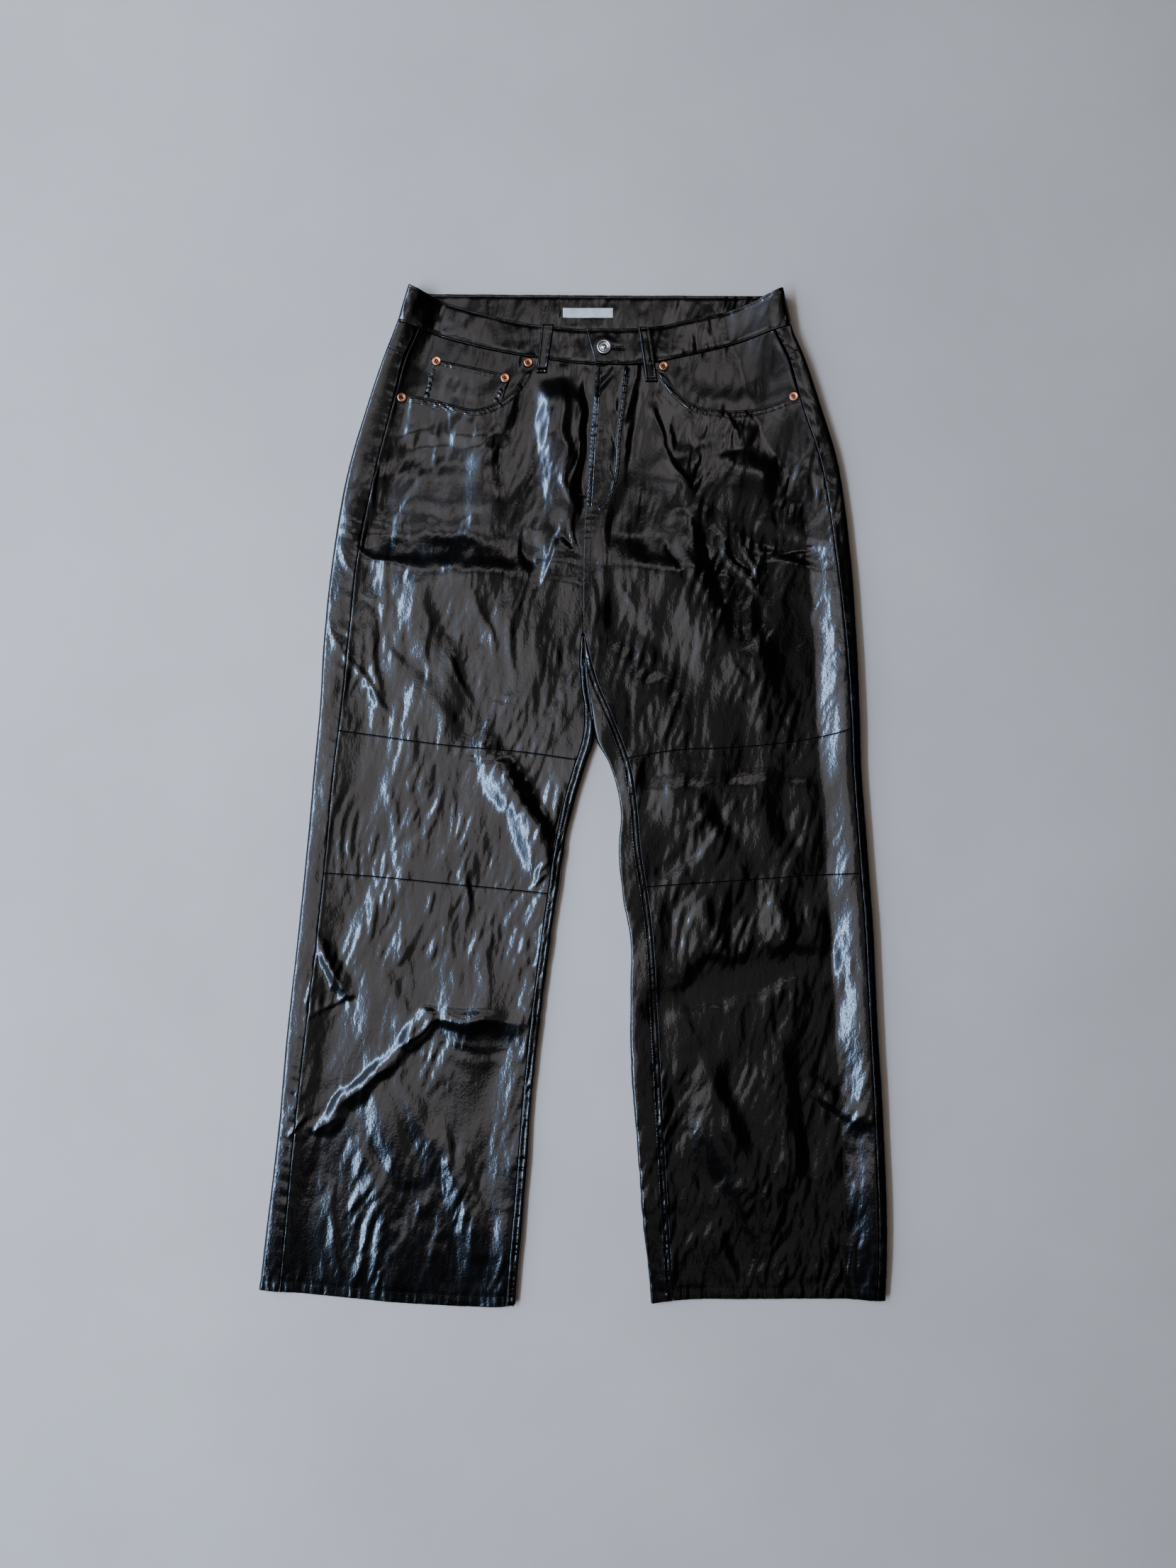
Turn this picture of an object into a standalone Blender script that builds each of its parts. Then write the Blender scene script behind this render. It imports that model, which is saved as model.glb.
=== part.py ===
"""Five-pocket leather trousers, laid flat on their back with the front side up.

World frame: X towards the wearer's left, Y from the hems to the waist, Z up. Sizes are in
millimetres until `metres`. The upper side of the lying garment is one height field, `lie`. The
fronts follow it. Each back panel lies on the ground, turns up round the edges of its leg and
follows the same field as far as the side seam and the inseam.
"""

import math

import bmesh
import bpy
import numpy as np

MM = 0.001

# Driving sizes, in millimetres
LEATHER = 1.4            # one layer of leather
COIN_LEATHER = 1.3       # the coin pocket
BAND = 2.4               # the waistband, two layers
SEAM = 0.3               # between two pieces along a seam
LAYER = 0.35             # between two pieces that lie on each other
LEG_GAP = 0.7            # between the two legs where they touch
POCKET_LIFT = LEATHER + 0.3   # the seat lies this far off the ground, on its patch pockets
MID_AT_HEM, MID_AT_WAIST = 5.0, 7.5   # height of the upper side away from the edges
BAND_PROUD = 0.8         # the waistband stands this far above the panels
FLY_RAISE = 1.9          # the left front stands this far above the right one along the fly
FLY_LAP = 6.0            # the right front runs this far under the left one
BAND_RAISE = 2.3         # the waistband's left end lies this far up, over its right end,
BAND_DROP = 0.5          # which is pressed down this far
SPREAD = 42.0            # how far in from an edge the side folds reach
HEM_Y, CROTCH_Y = -528.7, 171.3
CENTRE_BACK = 10.4       # x of the centre back seam
MIDDLE = (-0.34, 1.04)     # centre of the garment's box, which becomes the origin

COLUMNS = (0, 0.04, 0.09, 0.17, 0.26, 0.35, 0.43, 0.5, 0.55, 0.595, 0.63, 0.655, 0.675, 0.73,
           0.8, 0.87, 0.94, 1)
ROWS_LOWER, ROWS_KNEE, ROWS_THIGH, ROWS_SEAT = 18, 6, 6, 13


class Table:
    """A short table with named columns, read between its rows along a smooth curve."""

    def __init__(self, names, rows):
        self.names = names.split()
        self.rows = np.array(sorted(rows), dtype=float)
        slopes = np.diff(self.rows, axis=0) / np.diff(self.rows[:, 0])[:, None]
        inner = (slopes[:-1] + slopes[1:]) / 2
        self.slopes = np.vstack([slopes[:1], inner, slopes[-1:]])

    def read(self, name, at):
        column = self.names.index(name)
        keys = self.rows[:, 0]
        at = np.clip(at, keys[0], keys[-1])
        row = np.clip(np.searchsorted(keys, at) - 1, 0, len(keys) - 2)
        span = keys[row + 1] - keys[row]
        t = (at - keys[row]) / span
        start, end = self.rows[row, column], self.rows[row + 1, column]
        leave, arrive = self.slopes[row, column] * span, self.slopes[row + 1, column] * span
        rise = t * t * (3 - 2 * t)
        return start + (end - start) * rise + t * (1 - t) * (leave * (1 - t) - arrive * t)


# The outer edge of each leg: the outline, the side seam, and the height and half width of the
# fold that the cloth makes there.
OUTER = {
    "right": Table("y outline seam roll radius", [
        (531.4, -170.4, -150.0, 24.0, 6.0),
        (495.6, -182.6, -159.0, 18.0, 6.0),
        (458.0, -197.5, -174.8, 16.0, 7.0),
        (413.0, -213.3, -187.5, 14.0, 8.0),
        (347.0, -233.0, -204.9, 13.0, 9.0),
        (258.0, -249.5, -223.6, 12.0, 9.0),
        (171.0, -259.5, -233.6, 11.5, 9.0),
        (95.0, -264.4, -241.6, 11.0, 9.0),
        (35.0, -269.8, -249.0, 11.0, 9.0),
        (-53.0, -277.9, -257.5, 10.5, 9.0),
        (-142.0, -287.1, -267.1, 10.5, 9.0),
        (-234.0, -297.5, -278.0, 10.5, 9.0),
        (-349.0, -308.1, -291.0, 10.0, 9.0),
        (-466.0, -322.3, -302.2, 9.5, 9.0),
        (-529.0, -329.3, -308.6, 9.0, 8.0)]),
    "left": Table("y outline seam roll radius", [
        (528.3, 216.7, 198.0, 24.0, 6.0),
        (491.1, 226.0, 206.5, 19.0, 7.0),
        (458.0, 240.5, 222.0, 17.0, 9.0),
        (413.0, 256.0, 236.3, 15.5, 11.0),
        (347.0, 276.0, 258.0, 14.5, 13.0),
        (258.0, 288.0, 272.0, 14.0, 14.0),
        (171.0, 294.5, 282.5, 13.5, 15.0),
        (95.0, 297.7, 287.8, 13.5, 15.0),
        (35.0, 299.5, 290.5, 13.0, 15.0),
        (-53.0, 306.4, 297.1, 13.0, 15.0),
        (-142.0, 312.5, 303.5, 13.0, 15.0),
        (-234.0, 316.5, 308.0, 12.5, 14.0),
        (-349.0, 323.5, 314.2, 12.0, 14.0),
        (-466.0, 326.6, 317.6, 11.0, 13.0),
        (-529.0, 325.0, 316.0, 10.0, 12.0)])}

# The inner edge of each leg, below the crotch
INNER = {
    "right": Table("y edge seam roll radius", [
        (171.3, 10.0, 9.0, 6.8, 3.0),
        (150.0, 11.2, 6.9, 7.0, 3.5),
        (122.0, 13.5, 8.5, 7.6, 4.0),
        (95.0, 17.4, 12.0, 8.2, 4.8),
        (64.0, 21.5, 9.9, 9.0, 6.0),
        (35.0, 12.0, 1.0, 9.0, 6.5),
        (-8.5, 0.0, -11.3, 9.0, 7.0),
        (-53.0, -10.0, -19.8, 9.0, 7.0),
        (-97.0, -17.2, -26.5, 9.0, 7.0),
        (-189.0, -29.0, -39.2, 9.0, 7.0),
        (-293.0, -41.2, -50.8, 9.0, 7.0),
        (-400.0, -49.4, -59.6, 9.0, 7.0),
        (-529.0, -60.7, -70.3, 8.5, 7.0)]),
    "left": Table("y edge seam roll radius", [
        (171.3, 10.9, 11.9, 6.8, 3.0),
        (150.0, 12.0, 17.0, 7.2, 3.8),
        (122.0, 14.3, 25.2, 7.8, 5.0),
        (95.0, 18.4, 36.7, 8.6, 6.5),
        (64.0, 24.2, 49.5, 9.0, 8.0),
        (35.0, 37.5, 59.2, 9.0, 8.0),
        (-8.5, 48.8, 65.9, 9.0, 8.0),
        (-53.0, 46.6, 69.8, 9.0, 8.0),
        (-97.0, 50.3, 76.9, 9.0, 8.0),
        (-142.0, 58.6, 82.3, 9.0, 8.0),
        (-234.0, 59.0, 87.8, 9.0, 8.0),
        (-349.0, 65.6, 93.8, 9.0, 8.0),
        (-466.0, 75.2, 100.4, 9.0, 8.0),
        (-529.0, 81.4, 104.3, 8.5, 8.0)])}

# The edge of the left front along the fly, down to the crotch
FLY = Table("y x", [(491.0, 20.0), (454.0, 22.9), (411.8, 20.0), (374.8, 17.0), (335.6, 14.8),
                    (292.7, 12.0), (244.6, 10.6), (205.3, 10.2), (171.3, 10.4)])

# Seams and edges that run across the garment
HEM = {
    "right": Table("x y", [(-329, -510.2), (-238, -519.9), (-163, -526.5), (-78, -528.7),
                           (-59, -525.8)]),
    "left": Table("x y", [(80, -525.0), (97, -522.8), (196, -521.3), (325, -521.3)])}
KNEE_LOW = {
    "right": Table("x y", [(-285, -74.5), (-195, -81.0), (-122, -88.4), (-74, -92.9),
                           (-17, -98.5)]),
    "left": Table("x y", [(50, -93.0), (107, -88.4), (186, -83.2), (262, -78.0), (309, -75.5)])}
KNEE_HIGH = {
    "right": Table("x y", [(-272, 76.0), (-205, 67.0), (-138, 57.7), (-59, 50.7), (3, 42.2),
                           (18, 40.0)]),
    "left": Table("x y", [(30, 40.0), (54, 43.3), (109, 52.2), (174, 55.1), (257, 65.5),
                          (299, 77.0)])}
SCOOP = {
    "right": Table("x y", [(-200, 419.9), (-160, 419.9), (-142, 416.2), (-124, 411.1),
                           (-103, 406.8), (-88, 410.4), (-74, 417.7), (-61.5, 428.8),
                           (-52.5, 442.9), (-48, 453.2), (-44, 467.0), (-40, 482.0)]),
    "left": Table("x y", [(84, 484.0), (87, 471.0), (90.3, 457.7), (95.5, 445.9),
                          (103.6, 431.8), (115.4, 419.2), (127.3, 411.8), (146.5, 407.4),
                          (166.5, 405.9), (186.5, 407.4), (206.5, 411.8), (225, 417.7),
                          (250, 421.0)])}
# The waistband: its seam and its top edge, on the front and on the back
BAND_FRONT = {
    "right": Table("x seam top", [(-184, 495.8, 536.0), (-170.4, 492.6, 531.4),
                                  (-153, 487.4, 524.6), (-124, 478.6, 515.0),
                                  (-85, 469.0, 504.5), (-38, 460.8, 495.4),
                                  (12, 454.6, 491.2), (55, 454.0, 491.2)]),
    "left": Table("x seam top", [(15, 454.0, 490.6), (73, 454.2, 491.6), (117, 463.0, 499.6),
                                 (160, 472.8, 508.6), (188, 480.8, 516.8), (205, 486.0, 524.0),
                                 (216.7, 489.0, 528.3), (227, 491.3, 532.0)])}
BAND_BACK = Table("x seam top", [(-184, 495.8, 535.0), (-170.4, 494.5, 531.4),
                                 (-90, 490.5, 528.5), (10, 489.0, 527.6), (120, 489.4, 527.0),
                                 (216.7, 490.6, 528.3), (227, 491.2, 530.0)])
# The yoke seam: low at the centre back, and turned up onto the front at the sides
YOKE_FLOOR = Table("x y", [(-194, 470.3), (-100, 432.0), (CENTRE_BACK, 401.0), (130, 432.0),
                           (241, 468.0)])
YOKE_TOP = {
    "right": Table("x y", [(-194, 470.3), (-176, 463.6), (-160, 459.0)]),
    "left": Table("x y", [(205, 458.0), (222, 462.0), (241, 468.0)])}

# The largest folds: a ridge (positive height) or a trough along a line
FOLDS = (
    # start x, start y, end x, end y, width, height
    ("ridge beside the fly", -21, 432, -18, 312, 36, 3.4),
    ("pinch at the crotch", -22, 266, 0, 252, 26, 3.2),
    ("pit beside the pinch", -42, 268, -40, 236, 24, -2.2),
    ("right thigh trough", -205, 268, -62, 262, 50, -2.2),
    ("right thigh swell", -190, 330, -90, 316, 60, 1.6),
    ("left thigh wedge", 112, 284, 141, 214, 34, 2.6),
    ("left thigh trough", 188, 276, 262, 254, 34, -2.4),
    ("left seat swell", 90, 350, 190, 330, 70, 1.6),
    ("left thigh hollow", 40, 190, 130, 110, 60, -1.8),
    ("right thigh streak", -170, 215, -120, 90, 44, 1.8),
    ("left knee trough", 66, 22, 262, 30, 36, -2.4),
    ("right knee ridge", -128, 48, -34, -72, 44, 3.0),
    ("left knee crease", 100, -76, 150, -14, 26, -2.0),
    ("right shin corner", -258, -156, -236, -200, 26, 2.6),
    ("right shin pleat", -262, -338, -168, -250, 30, 4.2),
    ("right shin pleat, upper end", -168, -250, -152, -226, 26, 3.4),
    ("right shin ridge", -150, -226, -62, -230, 30, 2.6),
    ("right shin shadow", -140, -254, -66, -256, 34, -1.8),
    ("left shin trough", 92, -216, 268, -166, 46, -2.6),
    ("left shin swell", 110, -170, 250, -132, 46, 1.8),
    ("left calf crease", 250, -300, 300, -330, 26, 2.2),
    ("right calf streak", -205, -310, -175, -390, 40, 1.8),
    ("right calf streak, inner", -120, -380, -98, -470, 40, 1.8),
    ("left calf swell", 150, -330, 190, -440, 70, 1.6),
)
FOLD_MARGIN = 16.0       # folds fade out this close to an edge or to the fly


def step(t):
    """0 below 0, 1 above 1, smooth between."""
    t = np.clip(t, 0, 1)
    return t * t * (3 - 2 * t)


def inward(side):
    """The X direction from the outer edge of a leg to its middle."""
    return 1 if side == "right" else -1


def mid_height(y):
    return MID_AT_HEM + (MID_AT_WAIST - MID_AT_HEM) * step((y - HEM_Y) / (454 - HEM_Y))


def ground(y):
    """Height of the cloth that lies on the ground."""
    return POCKET_LIFT * step((y - CROTCH_Y) / 40)


def edge_rise(inside, y, roll, radius):
    """How far the upper side stands above its middle height, `inside` the edge by that much."""
    low, mid = ground(y), mid_height(y)
    half = (roll - low) / 2
    turned = np.sqrt(np.clip(1 - (1 - np.clip(inside / radius, 0, 1)) ** 2, 0, 1))
    on_fold = low + half + half * turned - mid
    off_fold = (roll - mid) * (1 - step((inside - radius) / SPREAD))
    return np.where(inside < radius, on_fold, off_fold)


def inner_edge(side, y):
    edge = INNER[side].read("edge", y)
    if side == "right":
        edge = np.minimum(edge, INNER["left"].read("edge", y) - LEG_GAP)
    return edge


def from_edges(side, x, y):
    """How far a point lies inside the outer edge and, below the crotch, the inner edge."""
    outer = np.abs(x - OUTER[side].read("outline", y))
    inner = np.where(y < CROTCH_Y + 0.01, np.abs(x - inner_edge(side, y)), 1000.0)
    return outer, inner


def folds(x, y):
    height = np.zeros_like(x, dtype=float)
    for _, x0, y0, x1, y1, width, peak in FOLDS:
        length = math.hypot(x1 - x0, y1 - y0)
        ux, uy = (x1 - x0) / length, (y1 - y0) / length
        along = np.clip((x - x0) * ux + (y - y0) * uy, 0, length)
        away = np.hypot(x - x0 - ux * along, y - y0 - uy * along)
        across = 1 - step(away / (width / 2))
        height += peak * across * (0.55 + 0.45 * np.sin(math.pi * along / length))
    return height


def lie(side, x, y):
    """Height of the upper side of the lying cloth."""
    x, y = np.broadcast_arrays(np.asarray(x, float), np.asarray(y, float))
    outer, inner = from_edges(side, x, y)
    height = mid_height(y) + edge_rise(outer, y, OUTER[side].read("roll", y),
                                       OUTER[side].read("radius", y))
    inner_roll, inner_radius = INNER[side].read("roll", y), INNER[side].read("radius", y)
    height = height + np.where(inner < 900, edge_rise(inner, y, inner_roll, inner_radius), 0)
    from_fly = np.where(y > CROTCH_Y, np.abs(x - FLY.read("x", y)), 1000.0)
    fade = step(outer / FOLD_MARGIN) * step(inner / FOLD_MARGIN) * step(from_fly / FOLD_MARGIN)
    below_pockets = step((445 - y) / 30)
    cloth = height + folds(x, y) * fade * below_pockets
    floor = ground(y) + 2 * LEATHER + 0.45
    return np.where(outer > OUTER[side].read("radius", y), np.maximum(cloth, floor), cloth)


def fold_step(side, x, y, thickness):
    """From the outside of the upper side to its inside: straight down, or towards the axis of
    the fold at an edge."""
    outer, inner = from_edges(side, x, y)
    turn = inward(side)
    out_cos = np.clip(1 - outer / OUTER[side].read("radius", y), 0, 1)
    in_cos = np.clip(1 - inner / INNER[side].read("radius", y), 0, 1)
    across = turn * (out_cos - in_cos)
    down = -np.sqrt(1 - np.maximum(out_cos, in_cos) ** 2)
    return thickness * np.stack([across, np.zeros_like(across), down], axis=-1)


def fly_raise(x, y):
    """How far the fly stands above the right front: wide at the waist, narrow at the crotch."""
    reach = 18 + 16 * step((y - 285) / 60) + 6 * step((y - 380) / 80)
    beside = 1 - step((x - FLY.read("x", y) - reach) / 14)
    return FLY_RAISE * beside * step((y - CROTCH_Y) / 20)


# The coin pocket's corners: top outer, top inner, bottom inner, bottom outer
COIN = np.array([(-148.5, 460.3), (-66.5, 442.8), (-80.0, 396.0), (-157.5, 398.0)])


def coin_swell(x, y):
    """How far the right front is lifted by the coin pocket under it."""
    (top_outer, top), (top_inner, _), (low_inner, _), (low_outer, low) = COIN
    down = (top - y) / (top - low)
    outer = top_outer + (low_outer - top_outer) * down
    inner = top_inner + (low_inner - top_inner) * down
    sides = step((x - outer + 22) / 12) * step((inner + 22 - x) / 12)
    return (LEATHER + LAYER) * sides * step((y - low + 32) / 16)


def metres(points):
    return (np.asarray(points, float) - (*MIDDLE, 0)) * MM


# Materials and meshes

def material(name, colour, roughness, metallic=0.0):
    made = bpy.data.materials.new(name)
    made.use_nodes = True
    shader = made.node_tree.nodes["Principled BSDF"]
    shader.inputs["Base Color"].default_value = (*colour, 1)
    shader.inputs["Roughness"].default_value = roughness
    shader.inputs["Metallic"].default_value = metallic
    return made


def add(name, mesh, finish):
    thing = bpy.data.objects.new(name, mesh)
    mesh.materials.append(finish)
    TROUSERS.objects.link(thing)
    return thing


def wall(name, outside, inside, finish):
    """A closed wall from a grid of points: the outside is lofted, then extruded once, and each
    copied point moves to its place on the inside. A point that is not a number is left out."""
    bm = bmesh.new()
    inward_step = bm.verts.layers.float_vector.new("inward")
    outside, inside = metres(outside), metres(inside)
    grid = np.full(outside.shape[:2], None, dtype=object)
    for place in np.ndindex(grid.shape):
        if not np.isnan(outside[place][0]):
            grid[place] = bm.verts.new(outside[place])
            grid[place][inward_step] = inside[place] - outside[place]
    for r in range(grid.shape[0] - 1):
        for c in range(grid.shape[1] - 1):
            corners = (grid[r, c], grid[r, c + 1], grid[r + 1, c + 1], grid[r + 1, c])
            if None not in corners:
                bm.faces.new(corners)
    copied = bmesh.ops.extrude_face_region(bm, geom=bm.faces[:])["geom"]
    for point in (p for p in copied if isinstance(p, bmesh.types.BMVert)):
        point.co += point[inward_step]
    bmesh.ops.recalc_face_normals(bm, faces=bm.faces[:])
    mesh = bpy.data.meshes.new(name)
    bm.to_mesh(mesh)
    bm.free()
    return add(name, mesh, finish)


# Rows across a panel

def rows_between(levels, counts):
    """Row functions y(x): `counts` steps from each level line to the next."""
    rows = []
    for low, high, count in zip(levels, levels[1:], counts):
        for i in range(count):
            share = i / count
            rows.append(lambda x, a=low, b=high, s=share: a(x) * (1 - s) + b(x) * s)
    return rows + [levels[-1]]


def level(table, shift=0.0, column="y"):
    return lambda x: table.read(column, x) + shift


def meet(edge, row, start):
    """The point where a row crosses an edge line x(y)."""
    y = row(start)
    for _ in range(14):
        y = row(edge(y))
    return edge(y), y


def side_seam(side, away=0.0):
    return lambda y: OUTER[side].read("seam", y) + inward(side) * away


def front_inner_line(side):
    """The edge of a front away from its side seam: the fly above the crotch, then the inseam.
    The right front runs on under the left one, from a little above the crotch."""
    turn = inward(side)

    def line(y):
        lap = FLY_LAP * step((y - CROTCH_Y - 22) / 20) if side == "right" else 0.0
        fly = FLY.read("x", y) + np.where(lap > 0, lap, -turn * SEAM / 2)
        inseam = INNER[side].read("seam", y) - turn * SEAM
        return np.where(y > CROTCH_Y + 1, fly, inseam)
    return line


def front_grid(side, rows, columns=COLUMNS):
    """Points of the lying front on these rows, from the side seam to the fly or inseam."""
    outer_line, inner_line = side_seam(side, SEAM), front_inner_line(side)
    start = 100.0 * -inward(side)
    points = []
    for row in rows:
        x0, _ = meet(outer_line, row, start)
        x1, _ = meet(inner_line, row, start)
        x = x0 + (x1 - x0) * np.array(columns)
        points.append(np.stack([x, row(x)], axis=-1))
    return np.array(points)


def front_surface(side, x, y):
    raised = fly_raise(x, y) if side == "left" else coin_swell(x, y)
    return lie(side, x, y) + raised


def front_panel(side, name, levels, counts, finish):
    flat = front_grid(side, rows_between(levels, counts))
    x, y = flat[..., 0], flat[..., 1]
    outside = np.dstack([x, y, front_surface(side, x, y)])
    return wall(f"{side}_front_{name}", outside, outside + fold_step(side, x, y, LEATHER), finish)


def make_fronts(side, finish):
    half = SEAM / 2
    top = BAND_FRONT[side]

    def open_top(x):
        return np.minimum(SCOOP[side].read("y", x), top.read("seam", x) - half)

    front_panel(side, "lower", [level(HEM[side]), level(KNEE_LOW[side], -half)],
                [ROWS_LOWER], finish)
    front_panel(side, "knee", [level(KNEE_LOW[side], half), level(KNEE_HIGH[side], -half)],
                [ROWS_KNEE], finish)
    front_panel(side, "upper",
                [level(KNEE_HIGH[side], half), lambda x: CROTCH_Y + 0 * x, open_top],
                [ROWS_THIGH, ROWS_SEAT], finish)


# Back panels and yokes: from the side seam round the outer fold, along the ground, and below
# the crotch round the inner fold to the inseam

def fold_points(side, edge, top_row, floor_row, count):
    """Points round the fold at one edge of a leg, from its seam on the upper side to the ground,
    each with the way to the wall's inside: (x, y, z, across, up)."""
    if edge == "outer":
        table, direction, far = OUTER[side], inward(side), -200.0 * inward(side)
    else:
        table, direction, far = INNER[side], -inward(side), 20.0

    def line(y):
        return table.read("outline", y) if edge == "outer" else inner_edge(side, y)

    edge_x, edge_y = meet(line, top_row, far)
    seam_x, _ = meet(lambda y: table.read("seam", y), top_row, far)
    parts = []
    for angle in np.linspace(0, math.pi / 2, count + 1):
        inside = abs(seam_x - edge_x) * (1 - math.sin(angle))
        y = top_row(line(edge_y) + direction * inside)
        x = line(y) + direction * inside
        cos = np.clip(1 - inside / table.read("radius", y), 0, 1)
        parts.append((x, y, lie(side, x, y), direction * cos, -math.sqrt(1 - cos * cos)))
    for angle in (math.pi / 4, math.pi / 2):
        inside = table.read("radius", edge_y) * (1 - math.cos(angle))
        y = floor_row(line(edge_y) + direction * inside)
        half = (table.read("roll", y) - ground(y)) / 2
        parts.append((line(y) + direction * inside, y, ground(y) + half * (1 - math.sin(angle)),
                      direction * math.cos(angle), math.sin(angle)))
    return parts


def wrap_row(side, top_row, floor_row, below_crotch):
    """One row of a back panel: its outside points, and the steps to its inside."""
    outer_fold = fold_points(side, "outer", top_row, floor_row, 4)
    inner_fold = []
    end, shares = CENTRE_BACK - inward(side) * SEAM / 2, (0.25, 0.5, 0.75, 1.0)
    if below_crotch:
        inner_fold = fold_points(side, "inner", top_row, floor_row, 3)[::-1]
        end, shares = inner_fold[0][0], (0.25, 0.5, 0.75)
    start = outer_fold[-1][0]
    across = [start + (end - start) * share for share in shares]
    flat = [(x, floor_row(x), ground(floor_row(x)), 0, 1) for x in across]
    parts = np.array(outer_fold + flat + inner_fold, dtype=float)
    steps = np.stack([parts[:, 3], 0 * parts[:, 3], parts[:, 4]], axis=-1) * LEATHER
    return parts[:, :3].tolist(), steps.tolist()


def wrap_panel(name, side, top_levels, floor_levels, counts, finish):
    top_rows, floor_rows = rows_between(top_levels, counts), rows_between(floor_levels, counts)
    made = []
    for top_row, floor_row in zip(top_rows, floor_rows):
        below = float(top_row(100.0 * -inward(side))) < CROTCH_Y + 0.5
        made.append(wrap_row(side, top_row, floor_row, below))
    width = max(len(points) for points, _ in made)
    gap = [(math.nan,) * 3]
    outside = np.array([points + gap * (width - len(points)) for points, _ in made])
    steps = np.array([moved + gap * (width - len(moved)) for _, moved in made])
    return wall(name, outside, outside + steps, finish)


def make_back(side, finish):
    half = SEAM / 2
    shared = [level(HEM[side]), level(KNEE_LOW[side]), level(KNEE_HIGH[side]),
              lambda x: CROTCH_Y + 0 * x]
    wrap_panel(f"{side}_back", side, shared + [level(YOKE_TOP[side], -half)],
               shared + [level(YOKE_FLOOR, -half)],
               [ROWS_LOWER, ROWS_KNEE, ROWS_THIGH, ROWS_SEAT], finish)
    wrap_panel(f"{side}_yoke", side,
               [level(YOKE_TOP[side], half), level(BAND_FRONT[side], -half, "seam")],
               [level(YOKE_FLOOR, half), level(BAND_BACK, -half, "seam")], [4], finish)


# Pockets

FACING_RISE = 1.3        # away from the opening the facing comes up level with the front
COIN_CLEAR = 0.5         # under the coin pocket, whose seams are thick


def facing_surface(side, x, y):
    """The facing lies just under the front along the opening, and nearly level with it above."""
    above = y - SCOOP[side].read("y", x) - 8
    return lie(side, x, y) - (LEATHER + LAYER) + FACING_RISE * step(above / 24)


def coin_surface(x, y):
    return facing_surface("right", x, y) + COIN_CLEAR + COIN_LEATHER


def make_facing(side, finish):
    turn = inward(side)
    under, beyond = 20.0, 14.0

    def bottom(x):
        return SCOOP[side].read("y", x - turn * beyond) - under

    levels = [bottom, level(BAND_FRONT[side], -SEAM / 2, "seam")]
    columns = [c for c in COLUMNS if c < 0.75]
    flat = front_grid(side, rows_between(levels, [5]), columns)
    x, y = flat[..., 0], flat[..., 1]
    outside = np.dstack([x, y, facing_surface(side, x, y)])
    wall(f"{side}_pocket_facing", outside, outside + fold_step(side, x, y, LEATHER), finish)


def make_coin_pocket(finish):
    across, down = np.meshgrid(np.linspace(0, 1, 8), np.linspace(0, 1, 6))
    top = COIN[0] + (COIN[1] - COIN[0]) * across[..., None]
    bottom = COIN[3] + (COIN[2] - COIN[3]) * across[..., None]
    flat = top + (bottom - top) * down[..., None]
    x, y = flat[..., 0], flat[..., 1]
    outside = np.dstack([x, y, coin_surface(x, y)])
    wall("coin_pocket", outside, outside - (0, 0, COIN_LEATHER), finish)


# Corners of a back pocket, from its top centre: across, down
POCKET_SHAPE = ((-74, 0), (74, 0), (68, 128), (0, 158), (-68, 128))
POCKET_TOP = {"right": (-98, 398), "left": (128, 398)}
POCKET_LEAN = {"right": 14, "left": -14}    # degrees, along the yoke


def make_back_pocket(side, finish):
    outline = bpy.data.curves.new(f"{side}_back_pocket", "CURVE")
    outline.dimensions = "2D"
    outline.fill_mode = "BOTH"
    outline.extrude = LEATHER / 2 * MM
    spline = outline.splines.new("POLY")
    spline.points.add(len(POCKET_SHAPE) - 1)
    for point, (across, down) in zip(spline.points, POCKET_SHAPE):
        point.co = (across * MM, -down * MM, 0, 1)
    spline.use_cyclic_u = True
    outline.materials.append(finish)
    pocket = bpy.data.objects.new(f"{side}_back_pocket", outline)
    TROUSERS.objects.link(pocket)
    pocket.location = metres((*POCKET_TOP[side], LEATHER / 2))
    pocket.rotation_euler.z = math.radians(-POCKET_LEAN[side])


# Waistband

BAND_SIDE = {"right": (495.6, 531.4), "left": (491.1, 528.3)}   # y of its edges at the side folds
BAND_END = {"right": 232.0, "left": 203.5}                      # from each side fold to its end
BAND_TURN = 6.5                                                 # radius of its side folds


def band_raise(side, x):
    if side == "left":
        return BAND_RAISE * (1 - step((x - 56) / 40))
    return -BAND_DROP * step((x + 10) / 30)


def band_height(side, x, y):
    return lie(side, x, y) + BAND_PROUD + band_raise(side, x)


def band_line(side, inside, share, edges):
    """Points across the band, `inside` its side fold by that much."""
    low_y, high_y = BAND_SIDE[side]
    low_x = OUTER[side].read("outline", low_y) + inward(side) * inside
    high_x = OUTER[side].read("outline", high_y) + inward(side) * inside
    low, high = edges.read("seam", low_x) + SEAM / 2, edges.read("top", high_x)
    return low_x + (high_x - low_x) * share, low + (high - low) * share


def band_front(side, inside, share):
    """A station of the band on the front: its outside points, and the steps to its inside."""
    fold = OUTER[side]
    x, y = band_line(side, inside, share, BAND_FRONT[side])
    if inside == 0:
        x = fold.read("outline", y)
    cos = np.clip(1 - abs(x - fold.read("outline", y)) / fold.read("radius", y), 0, 1)
    height = band_height(side, x, y) - BAND_PROUD * cos
    steps = np.stack([inward(side) * cos, 0 * cos, -np.sqrt(1 - cos ** 2)], axis=-1)
    return np.stack([x, y, height], axis=-1), steps * BAND


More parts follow.
